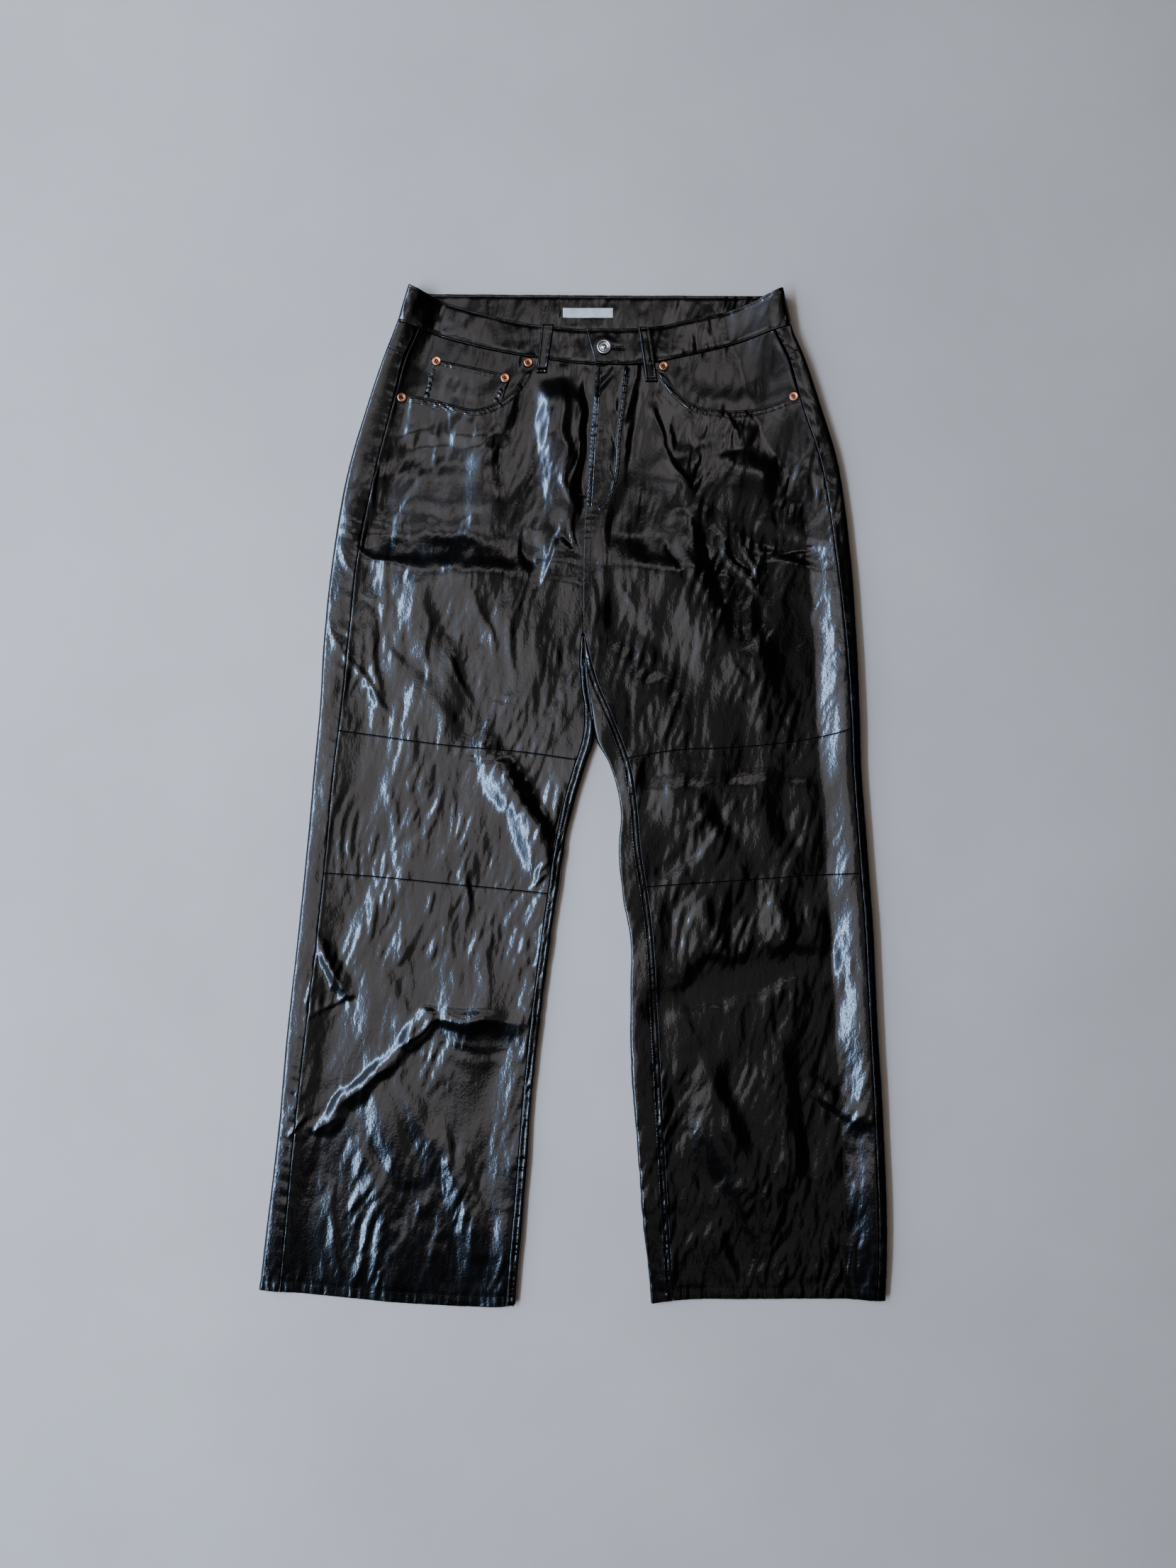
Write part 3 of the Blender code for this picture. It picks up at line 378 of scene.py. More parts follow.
def edge_rise(inside, y, roll, radius, reach=SPREAD, straight=0.0):
    """How far the upper side stands above its middle height, `inside` the edge by that much."""
    low, mid = ground(y), mid_height(y)
    half = (roll - low) / 2
    turned = (1 - (1 - np.clip(inside / radius, 0, 1)) ** SQUARE) ** (1 / SQUARE)
    on_fold = low + half + half * turned - mid
    t = np.clip((inside - radius) / reach, 0, 1)
    off_fold = (roll - mid) * (1 - (1 - straight) * step(t) - straight * t)
    return np.where(inside < radius, on_fold, off_fold)


def left_spread(y):
    return LEFT_SPREAD + 30 * step((y - 290) / 110)


def inner_edge(side, y):
    edge = INNER[side].read("edge", y)
    if side == "right":
        edge = np.minimum(edge, INNER["left"].read("edge", y) - LEG_GAP)
    return edge


def from_edges(side, x, y):
    """How far a point lies inside the outer edge and, below the crotch, the inner edge."""
    outer = np.abs(x - OUTER[side].read("outline", y))
    inner = np.where(y < CROTCH_Y + 0.01, np.abs(x - inner_edge(side, y)), FAR)
    return outer, inner


def from_fly(x, y):
    """How far a point lies from the edge of the fly, above the crotch."""
    return np.where(y > CROTCH_Y, np.abs(x - FLY.read("x", y)), FAR)


class Noise:
    """Smooth noise between about -1 and 1, the same on every run."""

    grid = 128

    def __init__(self, seed):
        angle = np.random.default_rng(seed).uniform(0, 2 * math.pi, (self.grid, self.grid))
        self.slopes = np.stack([np.cos(angle), np.sin(angle)], axis=-1)

    def at(self, u, v):
        u, v = np.broadcast_arrays(np.asarray(u, float), np.asarray(v, float))
        u0, v0 = np.floor(u).astype(int), np.floor(v).astype(int)
        fu, fv = u - u0, v - v0
        total = np.zeros_like(fu)
        for i in (0, 1):
            for j in (0, 1):
                slope = self.slopes[(u0 + i) % self.grid, (v0 + j) % self.grid]
                weight = self.ease(fu if i else 1 - fu) * self.ease(fv if j else 1 - fv)
                total += weight * (slope[..., 0] * (fu - i) + slope[..., 1] * (fv - j))
        return 1.6 * total

    @staticmethod
    def ease(t):
        return t ** 3 * (t * (6 * t - 15) + 10)


DRIFT, BROAD, MIDDLING, FINE, PUCKER, STRENGTH = (Noise(seed) for seed in range(11, 17))


def bent(x, y):
    """Places moved a little, so that no fold is quite straight."""
    return (x + 6 * DRIFT.at(x / 38 + 3, y / 44), y + 6 * DRIFT.at(x / 41 + 60, y / 40 + 20))


def folds(x, y):
    x, y = bent(x, y)
    height = np.zeros_like(x, dtype=float)
    for x0, y0, x1, y1, width, peak in FOLDS:
        length = math.hypot(x1 - x0, y1 - y0)
        ux, uy = (x1 - x0) / length, (y1 - y0) / length
        along = np.clip((x - x0) * ux + (y - y0) * uy, 0, length)
        away = np.hypot(x - x0 - ux * along, y - y0 - uy * along)
        across = 1 - step((away / (width / 2) - 0.2) / 0.8)
        height += peak * across * (0.55 + 0.45 * np.sin(math.pi * along / length))
    return height


def creases(x, y, free, wide):
    """`free` and `wide` fade the narrow and the broad ones towards the edges."""
    x, y = bent(x, y)
    height = np.zeros_like(x, dtype=float)
    for x0, y0, x1, y1, width, peak, bow, sharp, flat, lean in CREASES:
        near = (x > min(x0, x1) - width) & (x < max(x0, x1) + width)
        near &= (y > min(y0, y1) - width) & (y < max(y0, y1) + width)
        if not near.any():
            continue
        length = math.hypot(x1 - x0, y1 - y0)
        ux, uy = (x1 - x0) / length, (y1 - y0) / length
        along = (x[near] - x0) * ux + (y[near] - y0) * uy
        left = (y[near] - y0) * ux - (x[near] - x0) * uy
        share = np.clip(along / length, 0, 1)
        left = left - bow * 4 * share * (1 - share)
        away = np.hypot(left, along - share * length)
        to_left = left > 0 if uy >= 0 else left < 0
        half = width / 2 * np.where(to_left, 1 + lean, 1 - lean)
        t = np.clip((away / half - flat) / (1 - flat), 0, 1)
        crest = (1 - sharp) * (1 - step(t)) + sharp * (1 - t) ** 2
        height[near] += (peak * crest * np.sin(math.pi * np.clip(share, 0.06, 0.94)) ** 0.6
                         * (wide if width >= BROAD_CREASE else free)[near])
    return height


SOFT = 0.3               # how softly the cloth meets the layers under it
REST = 0.45              # and how far from them it lies


def lie(side, x, y):
    """Height of the upper side of the lying cloth."""
    x, y = np.broadcast_arrays(np.asarray(x, float), np.asarray(y, float))
    outer, inner = from_edges(side, x, y)
    roll, radius = OUTER[side].read("roll", y), OUTER[side].read("radius", y)
    fall = (SPREAD, 0.0) if side == "right" else (left_spread(y), LEFT_STRAIGHT)
    height = mid_height(y) + edge_rise(outer, y, roll, radius, *fall)
    inner_rise = edge_rise(inner, y, INNER[side].read("roll", y), INNER[side].read("radius", y))
    height = height + np.where(inner < FAR, inner_rise, 0)
    fade = [step(away / FOLD_MARGIN) for away in (outer, inner, from_fly(x, y))]
    fade.append(step((FOLD_TOP - y) / 30))
    cloth = height + folds(x, y) * math.prod(fade)
    floor = ground(y) + 2 * LEATHER + REST
    resting = floor + SOFT * np.logaddexp(0, (cloth - floor) / SOFT)
    return np.where(outer > radius, resting, cloth)


def fold_step(side, x, y):
    """From the outside of the upper side to its inside: straight down, or towards the axis of
    the fold at an edge."""
    outer, inner = from_edges(side, x, y)
    out_cos = np.clip(1 - outer / OUTER[side].read("radius", y), 0, 1)
    in_cos = np.clip(1 - inner / INNER[side].read("radius", y), 0, 1)
    across = inward(side) * (out_cos - in_cos)
    down = -np.sqrt(1 - np.maximum(out_cos, in_cos) ** 2)
    return LEATHER * np.stack([across, np.zeros_like(across), down], axis=-1)


def fly_raise(x, y):
    """How far the fly stands above the right front: wide at the waist, narrow at the crotch."""
    reach = 18 + 16 * step((y - 285) / 60) + 6 * step((y - 380) / 80)
    beside = 1 - step((x - FLY.read("x", y) - reach) / 14)
    return FLY_RAISE * beside * step((y - CROTCH_Y) / 20)


# The coin pocket's corners: top outer, top inner, bottom inner, bottom outer
COIN = np.array([(-148.5, 460.3), (-66.5, 442.8), (-80.0, 396.0), (-157.5, 398.0)])


def coin_swell(x, y):
    """How far the right front is lifted by the coin pocket under it."""
    (top_outer, top), (top_inner, _), (low_inner, _), (low_outer, low) = COIN
    down = (top - y) / (top - low)
    outer = top_outer + (low_outer - top_outer) * down
    inner = top_inner + (low_inner - top_inner) * down
    sides = step((x - outer + 22) / 12) * step((inner + 22 - x) / 12)
    return (LEATHER + LAYER) * sides * step((y - low + 32) / 16)


def front_surface(side, x, y):
    raised = fly_raise(x, y) if side == "left" else coin_swell(x, y)
    return lie(side, x, y) + raised


FACING_RISE, COIN_CLEAR = 1.3, 0.5


def facing_surface(side, x, y):
    above = y - SCOOP[side].read("y", x) - 8
    return lie(side, x, y) - (LEATHER + LAYER) + FACING_RISE * step(above / 24)


def coin_surface(x, y):
    return facing_surface("right", x, y) + COIN_CLEAR + COIN_LEATHER


def wrinkles(x, y):
    """Creases of soft leather that lean a little to the right on their way up."""
    drift = 6 * DRIFT.at(x / 55, y / 80)
    across = x - 0.24 * y + drift
    broad = 3.6 * BROAD.at(x / 74 + 7, y / 130) + 3.2 * BROAD.at(across / 29, y / 72)
    puffs = np.abs(MIDDLING.at(across / 12.5, y / 44))
    fine = np.abs(FINE.at(across / 6.4, y / 23))
    strength = 0.66 + 0.85 * STRENGTH.at(x / 60 + 31, y / 95)
    return 0.6 * broad + strength * (2.0 * (puffs - 0.3) + 1.1 * (fine - 0.3))


# Lines of the seams, as y(x) across the garment or x(y) along it

def level(table, shift=0.0, column="y"):
    return lambda x: table.read(column, x) + shift


def side_seam(side, away=0.0):
    return lambda y: OUTER[side].read("seam", y) + inward(side) * away


def inseam_line(side, away=0.0):
    return lambda y: INNER[side].read("seam", y) + inward(side) * away


def front_inner_line(side):
    """The edge of a front away from its side seam: the fly above the crotch, then the inseam."""
    turn = inward(side)

    def line(y):
        lap = FLY_LAP * step((y - CROTCH_Y - 22) / 20) if side == "right" else 0.0
        fly = FLY.read("x", y) + np.where(lap > 0, lap, -turn * HALF)
        return np.where(y > CROTCH_Y + 1, fly, inseam_line(side, -SEAM)(y))
    return line


def open_top(side):
    """The top edge of a front: the scooped opening, then the waist seam."""
    return lambda x: np.minimum(SCOOP[side].read("y", x), BAND_FRONT[side].read("seam", x) - HALF)


def clear_of(line, along, across):
    """Distance of points from a line that gives `across` for `along`."""
    slope = line(along + 0.5) - line(along - 0.5)
    return np.abs(across - line(along)) / np.hypot(1, slope)


# Where each rivet sits: two on the coin pocket, the others on the fronts
RIVETS = {
    "rivet_coin_outer": (-142.3, 457.0), "rivet_coin_inner": (-71.0, 439.4),
    "rivet_opening_inner_right": (-46.8, 455.6), "rivet_opening_outer_right": (-178.2, 418.4),
    "rivet_opening_inner_left": (94.0, 452.2), "rivet_opening_outer_left": (228.6, 418.4)}
BUTTON_PLACE = (31.8, 470.6)


def calm(x, y):
    """0 under the rivets and the button, so that the leather meets them, and 1 elsewhere."""
    still = np.ones_like(x, dtype=float)
    for (px, py), reach in [(place, 6.5) for place in RIVETS.values()] + [(BUTTON_PLACE, 9.0)]:
        still *= step((np.hypot(x - px, y - py) - reach) / 6)
    return still


def puckers(along, away, spacing, reach):
    """Short ridges that run out from a seam, uneven in spacing and length."""
    ripple = PUCKER.at(along / spacing, away / 60) + 0.6 * PUCKER.at(along / spacing / 0.55, 9)
    return ripple * ridge(away, reach * (1 + 0.5 * DRIFT.at(along / 23, 5)))


# Rows of stitches: how far each lies from its seam or edge
INSEAM_ROWS, OPENING_ROWS, YOKE_ROWS = (1.6, 7.2), (2.0, 7.0), (2.0, 7.5)
COIN_ROWS, PATCH_ROWS, BAND_ROWS = (1.8, 6.0), (2.0, 8.0), (2.2, BAND_WIDTH - 2.2)
HEM_ROW, KNEE_ROW = 10.5, 1.3


def relief(side, x, y):
    """What is too fine for the solids: creases, wrinkles, and what each seam does beside it."""
    x, y = np.broadcast_arrays(np.asarray(x, float), np.asarray(y, float))
    outer, inner = from_edges(side, x, y)
    turn, below = inward(side), y < CROTCH_Y
    to_side = (x - side_seam(side)(y)) * turn
    to_hem = y - HEM[side].read("y", x)
    free = step((outer - 2) / 10) * (0.35 + 0.65 * step((inner - 2) / 10))
    # wrinkles are weaker near the waist, on the fly, at the hem and on the right calf
    weak = 1 - 0.55 * step((y - 330) / 110)
    weak = weak * (0.45 + 0.55 * step((from_fly(x, y) - 16) / 26))
    weak = weak * (0.5 + 0.5 * step((to_hem - 8) / 12))
    if side == "right":
        weak = weak * (1 - 0.35 * step((-230 - y) / 90))
    height = 0.62 * wrinkles(x, y) * weak * (0.2 + 0.8 * step(outer / 34))
    height = height + creases(x, y, free, free * step((outer - 4) / 46))
    # raised cord of the side seam, with puckers across the strip behind it
    height += 0.3 * ridge(to_side - 2.0, 1.6) + 0.15 * ridge(to_side + 1.6, 1.2)
    strip = np.where(to_side < 0, 1.0, 0.35)
    height += 0.55 * strip * puckers(y + 0.5 * x, np.abs(to_side), 9, 9)
    # inseam: two sewn ridges behind the seam
    behind = (x - inseam_line(side)(y)) * turn
    for away in INSEAM_ROWS:
        height += below * 0.5 * ridge(behind - away, 1.1)
    height += 0.4 * below * puckers(y, np.abs(behind - 4.4), 6, 6)
    # across the garment: waist, knees and hem
    height += 0.5 * puckers(x, np.abs(BAND_FRONT[side].read("seam", x) - y), 8, 11)
    for knee in (KNEE_LOW, KNEE_HIGH):
        height += 0.28 * puckers(x, np.abs(knee[side].read("y", x) - y - 2), 7, 7)
    height += 0.75 * puckers(x, np.abs(to_hem - 5), 6, 9)
    height -= 0.35 * ridge(to_hem - HEM_ROW, 1.3)
    # below the pocket opening
    scoop = level(SCOOP[side])
    below_scoop = clear_of(scoop, x, y) * np.sign(scoop(x) - y)
    height += 0.4 * puckers(x + y, np.abs(below_scoop - 7), 6.5, 7)
    if side == "left":
        # gathers below the bar tack of the fly
        on_fly = x - FLY.read("x", y)
        gathers = step((309 - y) / 5) * step((y - 268) / 10)
        height += 0.6 * gathers * ridge(on_fly - 3, 7) * np.sin(2 * math.pi * y / 5.2)
        height += 0.25 * puckers(y, np.abs(on_fly - 6), 6, 8) * step((y - CROTCH_Y) / 10)
    height = height * calm(x, y)
    # the cloth cannot sink into the layers under it
    room = np.maximum(lie(side, x, y) - ground(y) - 2 * LEATHER - LAYER, 0.2) * 0.8
    return np.where(height < 0, -room * np.tanh(-height / room), height)


def front_top(side, x, y):
    return front_surface(side, x, y) + relief(side, x, y)


def coin_top(x, y):
    return coin_surface(x, y) + relief("right", x, y)


def lip(away, radius=0.55, depth=0.5):
    """How far a surface rolls down at a cut or folded edge, `away` from it."""
    return depth * (1 - np.sqrt(1 - (1 - np.clip(away / radius, 0, 1)) ** 2))


# Meshes

def metres(points):
    return (np.asarray(points, float) - (*MIDDLE, 0)) * MM


def placed(name, mesh, finish, slot):
    """An object for a mesh, with its finish, that rides on the garment."""
    mesh.polygons.foreach_set("use_smooth", np.ones(len(mesh.polygons), dtype=bool))
    mesh.materials.append(finish)
    thing = bpy.data.objects.new(name, mesh)
    bpy.context.scene.collection.objects.link(thing)
    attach(thing, "root")
    return thing


def mesh_object(name, points, faces, finish, slot):
    """An object from arrays of points in metres and of faces that have equally many sides."""
    mesh = bpy.data.meshes.new(name)
    mesh.vertices.add(len(points))
    mesh.vertices.foreach_set("co", points.ravel())
    mesh.loops.add(faces.size)
    mesh.loops.foreach_set("vertex_index", faces.astype(np.int32).ravel())
    mesh.polygons.add(len(faces))
    sides = faces.shape[1]
    mesh.polygons.foreach_set("loop_start", np.arange(len(faces), dtype=np.int32) * sides)
    mesh.polygons.foreach_set("loop_total", np.full(len(faces), sides, dtype=np.int32))
    mesh.update(calc_edges=True)
    return placed(name, mesh, finish, slot)


def shell(name, outside, inside, finish, slot, node=None, cloth=True):
    """A closed wall between two grids of points. Points that are not numbers are left out."""
    rows, columns = outside.shape[:2]
    count = rows * columns
    index = np.arange(count).reshape(rows, columns)
    quads = np.stack([index[:-1, :-1], index[:-1, 1:], index[1:, 1:], index[1:, :-1]],
                     axis=-1).reshape(-1, 4)
    outer, inner = metres(outside).reshape(-1, 3), metres(inside).reshape(-1, 3)
    good = ~np.isnan(outer[:, 0])
    quads = quads[good[quads].all(axis=1)]
    edges = np.concatenate([quads[:, [i, (i + 1) % 4]] for i in range(4)])
    _, first, uses = np.unique(np.sort(edges, axis=1) @ (count, 1), return_index=True,
                               return_counts=True)
    rim = edges[first[uses == 1]]
    walls = np.stack([rim[:, 1], rim[:, 0], rim[:, 0] + count, rim[:, 1] + count], axis=-1)
    faces = np.concatenate([quads, quads[:, ::-1] + count, walls])
    points = np.concatenate([outer, inner])
    used = np.zeros(len(points), dtype=bool)
    used[faces] = True
    points, faces = points[used], (np.cumsum(used) - 1)[faces]
    a, b, c, d = (points[faces[:, i]] for i in range(4))
    volume = ((np.cross(b - a, c - a) * (a + b + c)).sum()
              + (np.cross(c - a, d - a) * (a + c + d)).sum())
    if volume < 0:
        faces = faces[:, ::-1]
    thing = mesh_object(name, points, faces, finish, slot)
    if node:
        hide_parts(node)
    if cloth:
        grid, corner = outer.reshape(rows, columns, 3), outer[quads]
        across, along = (np.nansum(np.linalg.norm(np.diff(grid, axis=axis), axis=-1), axis=axis)
                         for axis in (1, 0))
    return thing


def leather_piece(node, outside, inside):
    shell("leather_" + node, outside, inside, LEATHER_FINISH, "leather", node)


# Grids

RIM = (0, 0.25, 0.6, 1.1, 1.8, 2.8, 4.2, 6.2)   # close together at an edge, to round it
SHORT_RIM = RIM[:6]


def spread(length, pitch, first=RIM, last=RIM):
    """Distances from 0 to each length, close together at both ends."""
    length = np.asarray(length, float)[..., None]
    first, last = np.array(first), np.array(last)[::-1]
    high = length - last
    count = max(2, round(float(length.mean() - first[-1] - last[0]) / pitch))
    share = np.arange(1, count) / count
    middle = first[-1] + (high[..., :1] - first[-1]) * share
    return np.concatenate([np.broadcast_to(first, length.shape[:-1] + first.shape), middle, high],
                          axis=-1)


def meet(edge, row, start):
    """Where rows y(x) cross an edge line x(y)."""
    y = row(start)
    for _ in range(14):
        y = row(edge(y))
    return edge(y), y


def rows_of(low, high, shares):
    return lambda x: low(x) * (1 - shares) + high(x) * shares


def panel_grid(low, high, first, last, start, pitch=PITCH):
    """x and y of a grid between two level lines y(x) and two edge lines x(y), and how far each
    point lies inside them."""
    height = float(high(start) - low(start))
    shares = (spread(height, pitch[1]) / height)[:, None]
    row = rows_of(low, high, shares)
    x0, _ = meet(first, row, start + 0 * shares)
    x1, _ = meet(last, row, start + 0 * shares)
    x = x0 + np.sign(x1 - x0) * spread(np.abs(x1 - x0)[:, 0], pitch[0])
    y = row(x)
    edge = nearest(clear_of(low, x, y), clear_of(high, x, y), clear_of(first, y, x),
                   clear_of(last, y, x))
    return x, y, edge


def pile(x, y, z):
    return np.stack(np.broadcast_arrays(x, y, z), axis=-1)


# Panels

def front_panel(side, name, low, high):
    x, y, edge = panel_grid(low, high, side_seam(side, SEAM), front_inner_line(side),
                            -LEG_X * inward(side))
    base = pile(x, y, front_top(side, x, y))
    inside = base + fold_step(side, x, y)
    base[..., 2] -= lip(edge)
    leather_piece(f"{side}_front_{name}", base, inside)


def make_fronts(side):
    low, high = KNEE_LOW[side], KNEE_HIGH[side]
    front_panel(side, "lower", level(HEM[side]), level(low, -HALF))
    front_panel(side, "knee", level(low, HALF), level(high, -HALF))
    front_panel(side, "upper", level(high, HALF), open_top(side))


# Back panels and yokes: from the side seam round the outer fold, along the ground, and below
# the crotch round the inner fold to the inseam

FOLD_ANGLES = np.radians((14, 28, 42, 56, 68, 80, 90))
FOLD_RIM = (0, 0.13, 0.5, 1.1, 2.0, 3.2, 4.6)     # close together where the fold turns down


def fold_strip(side, edge, top_row, floor_row, start, nominal):
    """The fold at one edge of a leg, from its seam on the upper side to the ground: points, the
    direction to the wall's inside, and a weight for the relief."""
    if edge == "outer":
        table, turn, line = OUTER[side], inward(side), level(OUTER[side], 0.0, "outline")
    else:
        table, turn, line = INNER[side], -inward(side), lambda y: inner_edge(side, y)
    edge_x, edge_y = meet(line, top_row, start)
    seam_x, _ = meet(level(table, 0.0, "seam"), top_row, start)
    pattern = spread(nominal, 2.2, SHORT_RIM, FOLD_RIM) / nominal
    inside = np.abs(seam_x - edge_x) * (1 - pattern)
    y = top_row(line(edge_y) + turn * inside)
    x = line(y) + turn * inside
    cos = np.clip(1 - inside / table.read("radius", y), 0, 1)
    high = (pile(x, y, lie(side, x, y)), pile(turn * cos, 0, -np.sqrt(1 - cos ** 2)))
    cos, sin = np.cos(FOLD_ANGLES), np.sin(FOLD_ANGLES)
    inside = table.read("radius", edge_y) * (1 - cos)
    y = floor_row(line(edge_y) + turn * inside)
    x = line(y) + turn * inside
    half = (table.read("roll", y) - ground(y)) / 2
    low = (pile(x, y, ground(y) + half * (1 - sin)), pile(turn * cos + 0 * x, 0, sin))
    weights = (np.ones(high[0].shape[:2]), (1 - step(sin / 0.9)) * np.ones(low[0].shape[:2]))
    return [np.concatenate(pair, axis=1) for pair in (*zip(high, low), weights)]


FLOOR_COLUMNS = 34


def wrap_part(side, top_levels, floor_levels, below_crotch):
    start, at_seam = -LEG_X * inward(side), OUTER[side].read("seam", SEAM_TOP)
    height = float(top_levels[1](at_seam) - top_levels[0](at_seam))
    ends = RIM if height > 30 else SHORT_RIM
    shares = (spread(height, PITCH[1], ends, ends) / height)[:, None]
    rows = rows_of(*top_levels, shares), rows_of(*floor_levels, shares)
    strips = [fold_strip(side, "outer", *rows, start + 0 * shares, 20)]
    first = strips[0][0][:, -1:, 0]
    across = np.arange(1, FLOOR_COLUMNS + 1) / FLOOR_COLUMNS
    end = CENTRE_BACK - inward(side) * HALF + 0 * first
    if below_crotch:
        inner = fold_strip(side, "inner", *rows, CROTCH_X + 0 * shares, 10)
        strips.append([part[:, ::-1] for part in inner])
        end, across = strips[1][0][:, :1, 0], across[:-1]
    x = first + (end - first) * across
    y = rows[1](x)
    strips.insert(1, [pile(x, y, ground(y)), pile(0 * x, 0 * x, 1 + 0 * x), 0 * x])
    return [np.concatenate(part, axis=1) for part in zip(*strips)]


def stack_rows(lower, upper):
    """Join two parts of a panel, the upper one with fewer columns."""
    joined = []
    for a, b in zip(lower, upper):
        gap = [(0, 0), (0, a.shape[1] - b.shape[1])] + [(0, 0)] * (a.ndim - 2)
        joined.append(np.concatenate([a, np.pad(b.astype(float), gap,
                                                constant_values=math.nan)[1:]]))
    return joined


def wrap_shell(name, side, parts, low, high):
    points, directions, weight = parts
    x, y = points[..., 0], points[..., 1]
    to_inseam = np.where(y < CROTCH_Y + 1, np.abs(x - inseam_line(side)(y)), FAR)
    to_seam = np.minimum(np.abs(x - side_seam(side)(y)), to_inseam)
    on_top = directions[..., 2] < 0
    ends = np.where(on_top, np.minimum(y - low[0](x), high[0](x) - y),
                    np.minimum(y - low[1](x), high[1](x) - y))
    rolled = np.maximum(lip(np.where(on_top, to_seam, FAR)), lip(np.abs(ends)))
    base = points - directions * (relief(side, x, y) * weight)[..., None]
    leather_piece(name, base + directions * rolled[..., None], base + directions * LEATHER)


def make_back(side):
    hem, crotch = level(HEM[side]), lambda x: CROTCH_Y + 0 * x
    top, floor = level(YOKE_TOP[side], -HALF), level(YOKE_FLOOR, -HALF)
    legs = wrap_part(side, (hem, crotch), (hem, crotch), True)
    seat = wrap_part(side, (crotch, top), (crotch, floor), False)
    wrap_shell(f"{side}_back", side, stack_rows(legs, seat), (hem, hem), (top, floor))
    lows = level(YOKE_TOP[side], HALF), level(YOKE_FLOOR, HALF)
    highs = level(BAND_FRONT[side], -HALF, "seam"), level(BAND_BACK, -HALF, "seam")
    yoke = wrap_part(side, (lows[0], highs[0]), (lows[1], highs[1]), False)
    wrap_shell(f"{side}_yoke", side, yoke, lows, highs)


# Pockets

FACING_DEPTH = 20.0      # how far a facing reaches below its opening
FACING_WIDTH = 0.73      # the share of the front that it lies behind


def make_facing(side):
    turn, first, whole = inward(side), side_seam(side, SEAM), front_inner_line(side)
    x, y, edge = panel_grid(lambda x: SCOOP[side].read("y", x - turn * 14.0) - FACING_DEPTH,
                            level(BAND_FRONT[side], -HALF, "seam"), first,
                            lambda y: first(y) + (whole(y) - first(y)) * FACING_WIDTH,
                            -LEG_X * turn, (2.6, 2.6))
    base = pile(x, y, facing_surface(side, x, y) + relief(side, x, y))
    inside = base + fold_step(side, x, y)
    base[..., 2] -= lip(edge)
    shell(f"leather_{side}_pocket_facing", base, inside, FACING_FINISH, "facing",
          f"{side}_pocket_facing")


def make_coin_pocket():
    width, depth = 82.0, 56.0
    across, down = np.meshgrid(spread(width, 2.4) / width, spread(depth, 2.4) / depth)
    edge = nearest(across * width, (1 - across) * width, down * depth, (1 - down) * depth)
    across, down = across[..., None], down[..., None]
    flat = (COIN[0] * (1 - across) + COIN[1] * across) * (1 - down) \
        + (COIN[3] * (1 - across) + COIN[2] * across) * down
    x, y = flat[..., 0], flat[..., 1]
    top = coin_top(x, y)
    leather_piece("coin_pocket", pile(x, y, top - lip(edge, 1.0, 0.8)),
                  pile(x, y, top - COIN_LEATHER))


# Back patch pockets and back loops lie on the ground, so their sewing is sunk into them

PATCH_TOP = {"right": (-98, 398), "left": (128, 398)}
PATCH_LEAN = {"right": 14, "left": -14}
PATCH_HALF, PATCH_TAPER = 74, 6            # half its width at the top, and how much it narrows
PATCH_LOW, PATCH_CORNER = 158, 128         # its depth at the point and at the corners
UNDER_STITCHES = []


def patch_place(side, across, down):
    """A point of a back pocket in the garment's frame."""
    lean = math.radians(-PATCH_LEAN[side])
    return (PATCH_TOP[side][0] + across * math.cos(lean) + down * math.sin(lean),
            PATCH_TOP[side][1] + across * math.sin(lean) - down * math.cos(lean))


def make_back_pocket(side):
    u, v = np.meshgrid(spread(140, 4.0) / 140 * 2 - 1, spread(140, 4.0) / 140)
    half = PATCH_HALF - PATCH_TAPER * v
    depth = PATCH_LOW - (PATCH_LOW - PATCH_CORNER) * np.abs(u)
    across, down = u * half, v * depth
    edge = nearest(half - np.abs(across), down, (depth - down) * 0.976)
    x, y = patch_place(side, across, down)
    groove = 0.42 * np.maximum(*(ridge(edge - away, 0.7) for away in PATCH_ROWS))
    leather_piece(f"{side}_back_pocket", pile(x, y, lip(edge, 1.0, 0.7) + groove),
                  pile(x, y, LEATHER))
    for away in PATCH_ROWS:
        top, low, corner = PATCH_HALF - away, PATCH_LOW - away, PATCH_CORNER - away
        outline = [(-top, away), (-top + 5.5, corner), (0, low), (top - 5.5, corner), (top, away)]
        UNDER_STITCHES.append([patch_place(side, *point) for point in outline])
    UNDER_STITCHES.append([patch_place(side, a, PATCH_ROWS[1]) for a in (-72, 72)])


BACK_LOOPS = {"right": -108.0, "centre": CENTRE_BACK, "left": 130.0}
BACK_LOOP_SIZE = (13.0, 48.0)


def make_back_loop(place, x):
    width, length = BACK_LOOP_SIZE
    top = BAND_BACK.read("top", x)
    across, up = np.meshgrid(spread(width, 1.2, SHORT_RIM, SHORT_RIM) - width / 2,
                             spread(length, 2.4) - length)
    edge = nearest(across + width / 2, width / 2 - across, -up, up + length)
    height = lip(edge, 0.9, 0.6) + 0.4 * ridge(edge - 2.0, 0.6)
    leather_piece(f"loop_back_{place}", pile(x + across, top + up, height),
                  pile(x + across, top + up, LEATHER))
    for along in (-width / 2 + 2.0, width / 2 - 2.0):
        UNDER_STITCHES.append([(x + along, top - 1.5), (x + along, top - length + 1.5)])


# Waistband: one strip from its right end over the side fold, across the back, to its left end

